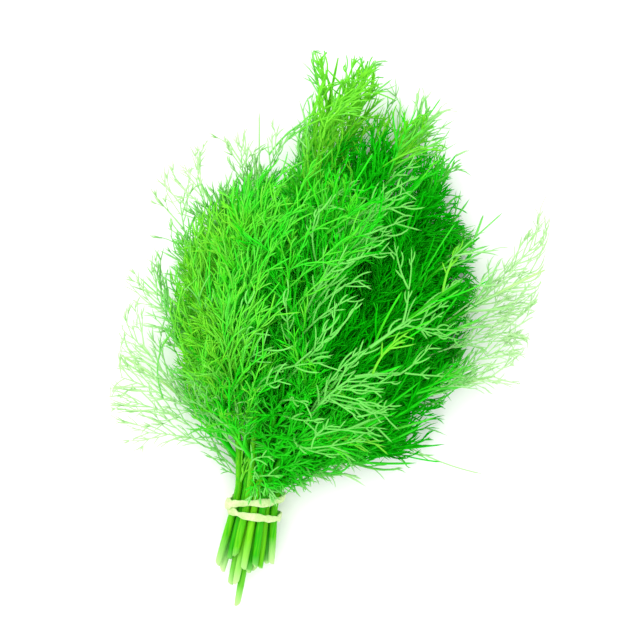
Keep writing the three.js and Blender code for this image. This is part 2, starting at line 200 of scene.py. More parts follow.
def chance(i, j, k):
    """A repeatable number from 0 to 1 for three whole numbers, or arrays of them.

    It is the far decimals of a wave, and the factors only have to be uneven. Each use has whole numbers of
    its own, so that no two uses draw the same.
    """
    wave = np.sin(i * 12.9898 + j * 78.233 + k * 37.719 + 4.1) * 43758.5453
    return wave - np.floor(wave)


def bow(a, b, c, t):
    """A curve from a by way of b to c, at share t."""
    return (1 - t) ** 2 * a + 2 * (1 - t) * t * b + t**2 * c


def across(tangent):
    """Two directions across tangent: one level, one as near upright as it can be."""
    level = unit(np.cross(tangent, UP))
    return level, unit(np.cross(level, tangent))


def upright(start, end):
    """The direction across each straight line from start to end that is as near upright as it can be."""
    onward = unit(end - start)
    return np.cross(unit(np.cross(onward, UP)), onward)


def within(outline, x, y):
    """Whether points of the plan stand inside an outline."""
    x, y = np.asarray(x)[..., None], np.asarray(y)[..., None]
    ax, ay = outline.T
    bx, by = np.roll(outline, -1, 0).T
    crosses = (ay > y) != (by > y)
    where = (bx - ax) * (y - ay) / np.where(crosses, by - ay, 1) + ax
    return (crosses & (x < where)).sum(-1) % 2 == 1


def beyond(outline, x, y):
    """How far points of the plan stand outside an outline, in millimetres, or 0 inside it."""
    p = np.stack([x, y], -1)[:, None]
    a, b = outline[None], np.roll(outline, -1, 0)[None]
    share = np.clip(((p - a) * (b - a)).sum(-1) / ((b - a) ** 2).sum(-1), 0, 1)
    gap = np.linalg.norm(p - a - (b - a) * share[..., None], axis=-1).min(1)
    return np.where(within(outline, x, y), 0, gap)


ROOF_FOOT, ROOF_RISE = 15, 58
ROOF_MIDDLE, ROOF_REACH = (8, 92), (82, 122)


def roof_height(x, y):
    """Height of the foliage's rounded top over a point of the plan."""
    sideways, onward = (x - ROOF_MIDDLE[0]) / ROOF_REACH[0], (y - ROOF_MIDDLE[1]) / ROOF_REACH[1]
    return ROOF_FOOT + ROOF_RISE * np.maximum(0, 1 - sideways**2 - onward**2)


# %% [markdown]
# ## The line of each stem
# A stem stays straight through the band and spreads from its neck. Past the neck it is one smooth curve that
# arches up a little and then sinks under its own weight. Three points draw such a curve, so two shoots of one
# bunch differ only in where their points lie.

# %% The axis of each shoot
STEM_RADIUS, CUT_RADIUS, TOP_RADIUS = 1.55, 1.65, 0.55
THIN_FROM = 0.8  # from this share of its length a stem is as thin as TOP_RADIUS
STEM_GAP, LAYER_RISE, LOWEST_STEM = 3.5, 3.6, 4.15
TAIL_FLARE, TAIL_DROP = 1.35, 0.85  # how the cut ends spread sideways and sink
NECK = 7  # stems start to spread this far past the band's middle
BEND_OUT, BEND_ON, BEND_UP = 0.2, 0.5, 0.66  # shares of the way to the tip at which the curve bends
BEND_PAST_BAND, BEND_ARCH = 8, 3


class Axis:
    """A shoot's own line, from its neck at share 0 to its tip at share 1."""

    def __init__(self, layer, column):
        tip, self.tail = LAYERS[layer][column]
        self.layer, self.column = layer, column
        x = (column - (len(LAYERS[layer]) - 1) / 2) * STEM_GAP
        z = LOWEST_STEM + layer * LAYER_RISE
        self.slot = vec(x, 0, z)
        self.cut = vec(x * TAIL_FLARE, -self.tail, z * TAIL_DROP)
        self.neck = vec(x, NECK, z)
        self.end = vec(*tip)
        self.bend = vec(
            x + BEND_OUT * (self.end[0] - x),
            BEND_ON * self.end[1] + BEND_PAST_BAND,
            z + BEND_UP * (self.end[2] - z) + BEND_ARCH,
        )
        self.length = np.linalg.norm(self.bend - self.neck) + np.linalg.norm(self.end - self.bend)

    def at(self, t):
        return bow(self.neck, self.bend, self.end, t)

    def radius(self, t):
        return STEM_RADIUS + (TOP_RADIUS - STEM_RADIUS) * np.minimum(1, t / THIN_FROM)


TANGENT_STEP = 0.02


def tangent_of(curve, t):
    return unit(curve.at(min(1, t + TANGENT_STEP)) - curve.at(t - TANGENT_STEP))


AXES = [Axis(layer, column) for layer, stems in enumerate(LAYERS) for column in range(len(stems))]
print("longest shoot", round(max(axis.length + axis.tail for axis in AXES)), "mm")

# %% [markdown]
# ## Room for every frond
# Fronds of a real bunch push each other aside. The solids follow a rule for that: stems and crowns stand
# first, and each side frond then tries up to eight turns round its stem until it touches no other shoot. The
# rule is repeated here with the same numbers, so every fine frond grows on the rib that the solids have.

# %% The straight stretches of a limb, and the gap between two of them
CLEARANCE, OWN_CLEARANCE = 0.3, 0.12  # to other shoots, and to fronds of the same shoot
STRETCH = np.dtype(
    [("a", float, 3), ("free", float, 3), ("b", float, 3), ("radius", float), ("shoot", int), ("limb", int)]
)


def stretches_of(shoot, limb, points, radii):
    """The straight stretches between a limb's rings. The first is half sunk in what it grows from."""
    made = np.zeros(len(points) - 1, STRETCH)
    made["a"], made["b"] = points[:-1], points[1:]
    made["free"] = made["a"]
    made["free"][0] = (points[0] + points[1]) / 2
    made["radius"] = np.maximum(radii[:-1], radii[1:])
    made["shoot"], made["limb"] = shoot, limb
    return made


def dot(a, b):
    return (a * b).sum(-1)


PARALLEL = 1e-9


def segment_gap(p1, q1, p2, q2):
    """Shortest distance between each segment p1-q1 and each segment p2-q2."""
    p1, q1, p2, q2 = p1[:, None], q1[:, None], p2[None], q2[None]
    d1, d2, r = q1 - p1, q2 - p2, p1 - p2
    a, e, b, c, f = dot(d1, d1), dot(d2, d2), dot(d1, d2), dot(d1, r), dot(d2, r)
    spread = a * e - b * b
    s = np.where(spread > PARALLEL, np.clip((b * f - c * e) / np.maximum(spread, PARALLEL), 0, 1), 0)
    t = np.clip((b * s + f) / e, 0, 1)
    s = np.clip((b * t - c) / a, 0, 1)
    return np.linalg.norm(p1 + d1 * s[..., None] - p2 - d2 * t[..., None], axis=-1)


def stands_clear(made, standing):
    """Whether a new side frond stands clear of all that stands, its own stem apart."""
    own = standing["shoot"] == made["shoot"][0]
    others = standing[~own]
    siblings = standing[own & (standing["limb"] != 0)]
    reach = made["radius"][:, None]
    apart = segment_gap(made["a"], made["b"], others["a"], others["b"]) - CLEARANCE
    beside = segment_gap(made["free"], made["b"], siblings["free"], siblings["b"]) - OWN_CLEARANCE
    return (apart >= reach + others["radius"]).all() and (beside >= reach + siblings["radius"]).all()


# %% Ribs: the rings on which the solids' leaflets stand
BLADE_END = 0.95
PAIR_SPACING, FEWEST_PAIRS = 8.5, 4
LEAFLET_ROOT = 1.1


def rib_rings(curve, bare, first):
    """Where the rings of a rib stand, and its radius at each."""
    blade = BLADE_END - first
    pairs = int(max(FEWEST_PAIRS, np.floor(blade * curve.length / PAIR_SPACING + 0.5)))
    roots = first + blade * (np.arange(pairs) + 0.5) / pairs
    half_root = LEAFLET_ROOT / 2 / curve.length
    shares = [*bare, *np.stack([roots - half_root, roots + half_root], 1).ravel(), 1]
    radii = np.array([curve.radius(t) for t in shares])
    radii[-1] = 0
    return np.array([curve.at(t) for t in shares]), radii


# %% Side fronds
FROND_SHARES = [0.12, 0.24, 0.37, 0.51, 0.66]  # where they leave the stem, as shares of its length
FROND_RADIUS, FROND_ROOT, FROND_TIP_RADIUS = 0.95, 0.85, 0.42
FROND_LENGTH, FROND_SHORTENS, FROND_VARIES = 74, 0.55, 0.3
FROND_SHRINK, SHORTEST_FROND = 0.9, 26
FROND_LEAN, FROND_LEAN_SPREAD = 0.62, 0.3  # radians between a frond and its stem
FROND_SWING, FROND_TURN = 1.9, 0.55  # radians round the stem: by chance, and from try to try
FROND_BEND, FROND_OUT, FROND_ON, FROND_DROOP = 0.5, 0.8, 0.22, 0.1  # shares of its length
FROND_FLOOR = 3
LEAVES_START = 11  # no frond leaves a stem nearer to the band than this


class Frond:
    """One side frond's rib: its curve, its length and how thick it is."""

    def __init__(self, root, away, tangent, length, root_radius):
        self.start, self.length, self.root_radius = root, length, root_radius
        self.bend = root + away * FROND_BEND * length
        self.end = root + away * FROND_OUT * length + tangent * FROND_ON * length
        self.bend[2] = max(self.bend[2], FROND_FLOOR)
        self.end[2] = max(self.end[2] - FROND_DROOP * length, FROND_FLOOR)

    def at(self, t):
        return bow(self.start, self.bend, self.end, t)

    def radius(self, t):
        return self.root_radius + (FROND_TIP_RADIUS - self.root_radius) * t

    def fits(self):
        return within(OUTLINE, *self.end[:2]) and self.end[2] < roof_height(*self.end[:2])


def side_frond(number, axis, rank, turn):
    """One way of growing side frond `rank` of a shoot, shortened until its tip is in the leafy mass."""
    share = FROND_SHARES[rank]
    root = axis.at(share)
    if root[1] < LEAVES_START:
        return None
    tangent = tangent_of(axis, share)
    level, raised = across(tangent)
    swing = (chance(number, rank, 1) - 0.5) * FROND_SWING
    swing += np.ceil(turn / 2) * (1 if turn % 2 else -1) * FROND_TURN
    angle = ((rank + number) % 2) * pi + swing
    lean = FROND_LEAN + FROND_LEAN_SPREAD * chance(number, rank, 2)
    away = tangent * cos(lean) + (level * cos(angle) + raised * sin(angle)) * sin(lean)
    length = FROND_LENGTH * (1 - FROND_SHORTENS * share) * (1 + FROND_VARIES * chance(number, rank, 3))
    while length > SHORTEST_FROND:
        frond = Frond(root, away, tangent, length, min(FROND_RADIUS, FROND_ROOT * axis.radius(share)))
        if frond.fits():
            return frond
        length *= FROND_SHRINK
    return None


# %% All stems stand first, then all side fronds find their way
CROWN_START, CROWN_SUNK = 0.5, 0.03  # where a crown starts, and how far its root sinks below that
CROWN_ROOT = 0.88  # a crown's rib is this much thinner than its stem
FROND_BARE, FROND_BLADE = 0.1, 0.2  # shares of a side frond before its first ring and its first leaflet
FROND_TRIES = 8
STEM_STRETCHES = 6


class Crown:
    """The upper half of a shoot's axis, which carries leaves of its own."""

    def __init__(self, axis):
        self.start, self.end = axis.at(CROWN_START), axis.end
        self.bend = axis.bend + (axis.end - axis.bend) * CROWN_START
        self.length = np.linalg.norm(self.end - self.start)
        self.root_radius = CROWN_ROOT * axis.radius(CROWN_START)


standing = []
for number, axis in enumerate(AXES):
    shares = np.linspace(0, CROWN_START, STEM_STRETCHES)
    stem_points = np.array([axis.cut, axis.slot, *[axis.at(t) for t in shares]])
    stem_radii = np.array([CUT_RADIUS, STEM_RADIUS, *axis.radius(shares)])
    standing.append(stretches_of(number, 0, stem_points, stem_radii))
    crown_points, crown_radii = rib_rings(axis, [CROWN_START - CROWN_SUNK], CROWN_START)
    standing.append(stretches_of(number, 0, crown_points, CROWN_ROOT * crown_radii))
standing = np.concatenate(standing)

fronds = []
for number, axis in enumerate(AXES):
    for rank in range(len(FROND_SHARES)):
        for turn in range(FROND_TRIES):
            frond = side_frond(number, axis, rank, turn)
            if frond is None:
                continue
            made = stretches_of(number, rank + 1, *rib_rings(frond, [0, FROND_BARE], FROND_BLADE))
            if stands_clear(made, standing):
                standing = np.concatenate([standing, made])
                fronds.append((number, frond))
                break
print(len(standing), "stretches stand clear of each other")


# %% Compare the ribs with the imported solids
def node_name(number):
    return f"dill_shoot_{number + 1:02d}"


def solid_points(number):
    """Corners of a packed shoot, in millimetres from the band's middle."""
    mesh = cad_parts[node_name(number)].data
    corners = np.empty(len(mesh.vertices) * 3, np.float32)
    mesh.vertices.foreach_get("co", corners)
    return corners.reshape(-1, 3) / MM - vec(0, BAND_TO_ORIGIN, 0)


off = [np.linalg.norm(solid_points(number) - frond.end, axis=1).min() for number, frond in fronds]
print(len(fronds), "side fronds; the worst tip is", round(max(off), 3), "mm off its solid")

# %% [markdown]
# ## Threads
# Thousands of threads could be curve objects with a bevel, or instances of one sprig. Curves this many are
# slow, and instanced sprigs look stamped. Here every thread is a row of numbers: where it starts, bends and
# ends, and how thick it is. Whole generations of threads then grow at once with plain array arithmetic.

# %% A set of threads
FIELDS = {"start": 3, "bend": 3, "end": 3, "up": 3}
FIELDS |= dict.fromkeys(("thick", "thin", "shoot", "tone", "tip", "pale", "deep", "kept"), 1)
# painted shade: below the foliage's top the leaves are painted darker from this depth on, and darkest so much
# deeper
DARK_FROM, DARK_OVER = 2, 16  # below the foliage's top it is dark from here, and darkest so much deeper


class Threads:
    """Curved threads, one to a row. What isn't given is 0.

    `up` lies across each thread, and it has the radius `thick` at its root and `thin` at its tip. `shoot`
    says whose it is, `tone` how yellow and how lit it is, `tip` how far out, `pale` how washed out by painted
    light and `deep` how much painted shade darkens it.
    Where `kept` is above 0, what grows from it stays even in the hollow of the bunch.
    """

    def __init__(self, **fields):
        rows = len(fields["start"])
        for name, width in FIELDS.items():
            shape = (rows, 3) if width == 3 else (rows,)
            setattr(self, name, np.broadcast_to(np.asarray(fields.get(name, 0), float), shape).copy())

    def __len__(self):
        return len(self.start)

    def at(self, t):
        return bow(self.start, self.bend, self.end, t[:, None])

    def heading(self, t):
        t = t[:, None]
        return unit((1 - t) * (self.bend - self.start) + t * (self.end - self.bend))

    def depth(self):
        """0 at the top of the foliage, 1 well inside it."""
        below = roof_height(self.end[:, 0], self.end[:, 1]) - self.end[:, 2]
        return np.clip((below - DARK_FROM) / DARK_OVER, 0, 1)

    def length(self):
        """Between that of the straight line and that of the way round by the bend, which is close enough."""
        return (
            np.linalg.norm(self.bend - self.start, axis=1)
            + np.linalg.norm(self.end - self.bend, axis=1)
            + 2 * np.linalg.norm(self.end - self.start, axis=1)
        ) / 3

    def only(self, keep):
        return Threads(**{name: getattr(self, name)[keep] for name in FIELDS})


def together(*sets):
    return Threads(**{name: np.concatenate([getattr(s, name) for s in sets]) for name in FIELDS})


# %% The room that the solids take
BOX_LOW = np.array(CAD_LOW) / MM - vec(0, BAND_TO_ORIGIN, 0)
BOX_HIGH = np.array(CAD_HIGH) / MM - vec(0, BAND_TO_ORIGIN, 0)


def held_in(points, margin):
    """Points moved onto the table where they would sink in it, and into the room that the solids take."""
    margin = np.asarray(margin)[..., None]
    return np.clip(points, BOX_LOW + margin, BOX_HIGH - margin)


print("room", np.round(BOX_HIGH - BOX_LOW, 1), "mm")

# %% [markdown]
# ## Where the bunch is open, shaded, lit and pale
# A real bunch isn't one even cushion. This one has a deep hollow that one looks into, with painted shade in
# it, a bare neck at the left, a notch between two tips, tips and a left side that painted light makes yellower
# toward the lamp, and a few threads at its lower left that painted light makes pale. A painted picture of such
# places would do, but a few outlines in the plan are easier to move, and every thread can ask them where it
# stands.

# %% Places in the plan of the bunch
# past the core the threads are also washed out pale by painted light, over this same width
WISP_WIDTH = 14  # over this many millimetres past the core, the leaves thin out
WISP_LOSS = 0.9  # and lose this share of their threads
HOLLOW = np.array(
    [
        (36, 146), (18, 148), (14, 168), (30, 177), (42, 162), (50, 152), (62, 160), (74, 146), (81, 126),
        (85, 106), (78, 86), (66, 76), (84, 62), (86, 30), (64, 24), (50, 35), (51, 66), (30, 66), (18, 74),
        (14, 87), (22, 101), (34, 114), (37, 128),
    ],
    float,
)  # no small fronds stand high in it, so one looks deep into the bunch
HOLLOW_EDGE = 6
# in the notch between two tips, and at the left of the neck, nothing small grows
TOP_GAP = np.array([(-2, 210), (-5, 200), (3, 190), (9, 199), (9, 210)], float)
NECK_BARE = np.array([(-12, 3), (-3.5, 3), (-5, 16), (-7, 30), (-17, 30), (-14, 14)], float)
LAMP_SIDE_LEFT, LAMP_SIDE_LEFT_FADE = -25, 20
LAMP_SIDE_TOP, LAMP_SIDE_TOP_FADE = 150, 30
LOW_LEFT_FADE, LOW_LEFT_TOP, LOW_LEFT_TOP_FADE = 15, 65, 20


def lamp_side(x, y):
    """1 at the left edge and at the top of the bunch, the side toward the lamp, where painted light makes the
    leaves yellower and lighter.
    """
    return np.clip(np.maximum((LAMP_SIDE_LEFT - x) / LAMP_SIDE_LEFT_FADE, (y - LAMP_SIDE_TOP) / LAMP_SIDE_TOP_FADE), 0, 1)


def lower_left(x, y):
    """1 at the lower left of the bunch, where painted light pales some threads."""
    return np.clip(-x / LOW_LEFT_FADE, 0, 1) * np.clip((LOW_LEFT_TOP - y) / LOW_LEFT_TOP_FADE, 0, 1)


def hollow(x, y):
    """1 inside the hollow, and down to 0 over its edge."""
    return np.clip(1 - beyond(HOLLOW, x, y) / HOLLOW_EDGE, 0, 1)


print("the hollow is", np.ptp(HOLLOW, axis=0), "mm wide and long")

# %% [markdown]
# ## How threads branch
# Dill branches in pairs, over and over: branches leave a rib, threads leave a branch, and threads fork. One
# function grows one such generation from the one before it. It leans each thread forward, bends it, colours
# it by where it ends, with painted shade deep inside and in the hollow and painted light at the edges and on
# the lamp's side, and drops it again where the bunch is open.

# %% One generation of threads
PLACE_JITTER, PAIR_SHIFT = 0.5, 0.15  # how far threads stray along their parent, in gaps
SHORTEST, LENGTH_SPREAD = 0.55, 0.9  # a thread's length by chance, as shares of its reach
# painted light: the young side is the side toward the lamp, and what a thread's tone gains there makes it
# yellower and lighter
TONE_SPREAD, LAMP_SIDE_TONE = 0.25, 0.4  # how a thread's tone varies, and what it gains on the young side
TIP_GAIN = 0.5  # a thread from its parent's tip counts as half the way further out
LEANEST, THICK_SPREAD = 0.85, 0.3  # a thread's thickness by chance, as shares of its radius
TIP_LEANER = 0.25  # threads at their parent's tip are so much thinner
# painted light: a share of the threads at the lower left, on the lamp's side, are painted pale
LIT_PALE_SHARE, LIT_PALE = 0.14, 0.4  # so many threads of the lower left are so pale
# painted shade: threads well below the foliage's top, and in the hollow, are painted this dark
DEPTH_SHADE, HOLLOW_SHADE = 0.28, 0.85  # how dark they are well below the top, and in the hollow
LOW_DOWN = 0.8  # threads at this depth stay in the hollow
BACK_EDGE = 4  # the dark fronds below the hollow end this close to the core's outline


def between(limits, share):
    """The value at a share of the way from the first limit to the second."""
    return limits[0] + (limits[1] - limits[0]) * share


def sprout(parents, seed, gap, along, reach, lean, tilt, curl, wild, radii, droop=0.0):
    """Pairs of threads that leave each parent every `gap` millimetres over the shares `along` of it.

    `reach` gives their length from the parent's length and the share. `lean` is the angle between them and
    the parent, `tilt` how far they leave the parent's plane, and `curl` how much they bend forward again.
    `wild` lets them wander, `radii` are those of root and tip, and `droop` is a share of the length.
    """
    first, last = along
    span = parents.length() * (last - first)
    pairs = np.maximum(1, np.round(span / gap)).astype(int)
    who = np.repeat(np.arange(len(parents)), pairs * 2)
    starts = np.cumsum(pairs * 2) - pairs * 2
    count = np.arange(len(who)) - starts[who]
    hand = np.where(count % 2 == 0, 1.0, -1.0)
    stray = PLACE_JITTER * (chance(who, count, seed) - 0.5)
    place = (count // 2 + 0.5 + stray + PAIR_SHIFT * hand) / pairs[who]
    share = first + (last - first) * place
    mother = parents.only(who)
    heading = mother.heading(share)
    up = unit(mother.up - heading * dot(mother.up, heading)[:, None])
    side = np.cross(heading, up)
    a_lean = between(lean, chance(count, who, seed + 1))
    a_tilt = between(tilt, chance(who + seed, count, seed + 2))
    out = side * (hand * np.cos(a_tilt))[:, None] + up * np.sin(a_tilt)[:, None]
    away = heading * np.cos(a_lean)[:, None] + out * np.sin(a_lean)[:, None]
    length = reach(mother.length(), place) * (SHORTEST + LENGTH_SPREAD * chance(who, seed, count + 3))
    bent = between(curl, chance(count + seed, who, 5))
    wander = side * (wild * (chance(who, count, seed + 6) - 0.5))[:, None]
    wander += up * (wild * (chance(who, count, seed + 8) - 0.5))[:, None]
    start = mother.at(share)
    bend = start + away * (0.5 * length)[:, None]
    onward = unit(away * (1 - bent)[:, None] + heading * bent[:, None] + wander)
    end = bend + onward * (0.5 * length)[:, None]
    end[:, 2] -= droop * length
    x, y = end[:, 0], end[:, 1]
    tone = mother.tone + TONE_SPREAD * (chance(who, count + 7, seed) - 0.5) + LAMP_SIDE_TONE * lamp_side(x, y)
    thickness = radii[0] * (LEANEST + THICK_SPREAD * chance(who + 3, count, seed)) * (1 - TIP_LEANER * place)
    lit_pale = LIT_PALE * lower_left(x, y) * (chance(who, count, seed + 12) < LIT_PALE_SHARE)
    outside = beyond(CORE, x, y)
    # painted light: threads past the core are washed out pale, and a share of those at the lower left too
    made = Threads(
        start=start, bend=held_in(bend, thickness), end=held_in(end, thickness), up=up,
        thick=thickness, thin=radii[1], shoot=mother.shoot, tone=tone,
        tip=mother.tip + (1 - mother.tip) * TIP_GAIN * share,
        pale=np.maximum(np.maximum(mother.pale, lit_pale), outside / WISP_WIDTH), kept=mother.kept,
    )  # fmt: skip
    open_here, depth = hollow(x, y), made.depth()
    # painted shade: a thread is painted darker below the foliage's top and in the hollow, unless it is kept
    dark = np.maximum(DEPTH_SHADE * depth, HOLLOW_SHADE * open_here)
    made.deep = np.where(made.kept > 0, mother.deep, dark)
    lost = np.maximum(open_here * (depth < LOW_DOWN), WISP_LOSS * outside / WISP_WIDTH)
    lost = np.maximum(lost, within(NECK_BARE, x, y) | within(TOP_GAP, x, y))
    lost = np.where(made.kept > 0, np.where(made.kept < 1, outside / BACK_EDGE, 0), lost)
    return made.only(chance(who, count, seed + 9) > lost)


# %% Ribs of the crowns and side fronds
RIB_TONE_SPREAD, RIB_SHADE = 0.3, 0.5
RIB_OUT = 0.2  # how far out the ribs count as being


def rib_threads():
    rows = [(number, Crown(axis)) for number, axis in enumerate(AXES)] + fronds
    number = np.array([number for number, _ in rows])
    start = np.array([rib.start for _, rib in rows])
    bend = np.array([rib.bend for _, rib in rows])
    end = np.array([rib.end for _, rib in rows])
    mood = chance(number, np.arange(len(rows)), 8) - 0.5
    return Threads(
        start=start, bend=bend, end=end, up=upright(start, end),
        thick=[rib.root_radius for _, rib in rows], thin=FROND_TIP_RADIUS,
        shoot=number, tone=YOUTH_LIGHT_AND_SHADE[number] + RIB_TONE_SPREAD * mood, tip=RIB_OUT,
    )  # fmt: skip


RIBS = rib_threads()
# painted shade: ribs below the foliage's top are painted darker
RIBS.deep = RIB_SHADE * RIBS.depth()
print(len(RIBS), "ribs,", round(RIBS.length().sum()), "mm of them")

# %% [markdown]
# ## Sprigs
# Between the side fronds stand short sprigs. They are too fine for the solids, but they hide the stems and
# fill the hollows. They could be scattered over the whole bunch, but a sprig that grows from a stem at a
# place of its own looks right from every side. Most of them leave the upper side, where the light is.

# %% Sprigs along every stem
SPRIG_PLACES = np.arange(0.08, 0.9, 0.1)  # shares of a shoot's length
SPRIG_STRAY = 0.03
SPRIG_START, SPRIG_START_LEFT = 8, 30  # sprigs stand this far past the band, and at the left this far
LEFT_BARE = -3  # the stems further left than this in the band are those of the left
COMBED = [2.5, 0.7, 0.6]  # the way most sprigs of the three top stems lean, in radians round the stem
SPRIG_SWING, COMBED_SWING = 2.9, 0.9
SPRIG_LEAN, SPRIG_LEAN_SPREAD = 0.25, 0.45
SPRIG_LENGTH, SPRIG_SHORTENS = (30, 58), 0.35
SPRIG_BEND, SPRIG_OUT, SPRIG_ON, SPRIG_DROOP = 0.5, 0.75, 0.25, 0.12  # shares of its length
SPRIG_ABOVE = 4  # no sprig ends more than this above the foliage's rounded top
SPRIG_THICK, SPRIG_THIN = 0.6, 0.35  # the first is a share of the stem's radius
SPRIG_TONE_SPREAD, SPRIG_SHADE, SPRIG_TIP = 0.4, 0.5, 0.35


def sprig(number, axis, place, share):
    """The curve of one sprig: its root, bend and end."""
    root, tangent = axis.at(share), tangent_of(axis, share)
    level, raised = across(tangent)
    middle, swing = (COMBED[axis.column], COMBED_SWING) if axis.layer == 3 else (pi / 2, SPRIG_SWING)
    angle = middle + swing * (chance(number, place, 72) - 0.5)
    lean = SPRIG_LEAN + SPRIG_LEAN_SPREAD * chance(number, place, 73)
    away = tangent * cos(lean) + (level * cos(angle) + raised * sin(angle)) * sin(lean)
    length = between(SPRIG_LENGTH, chance(number, place, 74))
    length *= 1 - SPRIG_SHORTENS * share
    bend = root + away * SPRIG_BEND * length
    end = root + away * SPRIG_OUT * length + tangent * SPRIG_ON * length - UP * SPRIG_DROOP * length
    end[2] = min(end[2], roof_height(*end[:2]) + SPRIG_ABOVE)
    return root, bend, end


def sprig_threads():
    rows = []
    for number, axis in enumerate(AXES):
        stray = SPRIG_STRAY * chance(number, np.arange(len(SPRIG_PLACES)), 71)
        first = SPRIG_START_LEFT if axis.slot[0] < LEFT_BARE else SPRIG_START
        for place, share in enumerate(SPRIG_PLACES + stray):
            if axis.at(share)[1] > first:
                thick = SPRIG_THICK * axis.radius(share)
                tone = YOUTH_LIGHT_AND_SHADE[number] + SPRIG_TONE_SPREAD * (chance(number, place, 75) - 0.5)
                rows.append((number, *sprig(number, axis, place, share), thick, tone))
    number, start, bend, end, thick, tone = (np.array(column) for column in zip(*rows))
    return Threads(
        start=start, bend=held_in(bend, thick), end=held_in(end, thick), up=upright(start, end),
        thick=thick, thin=SPRIG_THIN, shoot=number, tone=tone, tip=SPRIG_TIP,
    )  # fmt: skip


SPRIGS = sprig_threads()
# painted shade: sprigs below the foliage's top are painted darker
SPRIGS.deep = SPRIG_SHADE * SPRIGS.depth()
print(len(SPRIGS), "sprigs,", round(SPRIGS.length().sum()), "mm of them")

# %% [markdown]
# ## Tufts at the neck
# Where the stems come out of the tie, small curled sprigs cover them. Fronds could be drawn down so far, but
# they would be too long and straight for it. The stems at the left of the neck have no tufts and stay bare,
# so that one sees how the bunch is held.

# %% Short curled sprigs over the neck
TUFTS = 14  # on each stem, between the tie and the first frond
TUFT_FIRST, TUFT_SPACING, TUFT_STRAY = 0.004, 0.018, 0.012  # shares of a shoot's length
TUFT_LENGTH = (8, 24)
TUFT_TURN, TUFT_SPREAD = 0.5, 2.2  # radians round the stem, from its right side
TUFT_ON, TUFT_BACK = 0.5, 0.1  # how far they lean on towards the tips, and back over the tie
TUFT_STEM, TUFT_HOOK = 0.6, 0.5  # shares of its length before and after its bend
CURL_ASIDE, CURL_ON, CURL_BACK, CURL_DOWN = 0.8, 1.2, 0.3, 0.4
TUFT_THICK, TUFT_THIN = 0.6, 0.4  # radii
TUFT_EDGE, TUFT_SLOPE = -3, -0.15  # tufts that end left of this sloping line would hide the bare stems


def tuft(number, axis, place):
    """The curve of one tuft: its root, its bend, and its end, which curls down again."""
    root = axis.at(TUFT_FIRST + TUFT_SPACING * place + TUFT_STRAY * chance(number, place, 81))
    turn = TUFT_TURN + TUFT_SPREAD * chance(number, place, 82)
    out = vec(cos(turn), TUFT_ON * chance(number, place, 83) - TUFT_BACK, sin(turn))
    length = between(TUFT_LENGTH, (chance(number, place, 84) + place / TUFTS) / 2)
    bend = root + unit(out) * TUFT_STEM * length
    aside = CURL_ASIDE * (chance(number, place, 85) - 0.5)
    curl = vec(cos(turn) + aside, CURL_ON * chance(number, place, 86) - CURL_BACK, -CURL_DOWN)
    return root, bend, bend + unit(curl) * TUFT_HOOK * length


def tuft_threads():
    rows = []
    for number, axis in enumerate(AXES):
        if axis.layer > 0 and axis.column > 0 and axis.slot[0] >= LEFT_BARE:
            rows += [(number, *tuft(number, axis, place)) for place in range(TUFTS)]
    number, start, bend, end = (np.array(column) for column in zip(*rows))
    return Threads(
        start=start, bend=held_in(bend, TUFT_THICK), end=held_in(end, TUFT_THICK), up=upright(start, end),
        thick=TUFT_THICK, thin=TUFT_THIN, shoot=number, tone=0.2, tip=0.1,
    )  # fmt: skip


tufts = tuft_threads()
NECK_TUFTS = tufts.only(tufts.end[:, 0] > TUFT_EDGE + TUFT_SLOPE * tufts.end[:, 1])
print(len(NECK_TUFTS), "tufts at the neck")
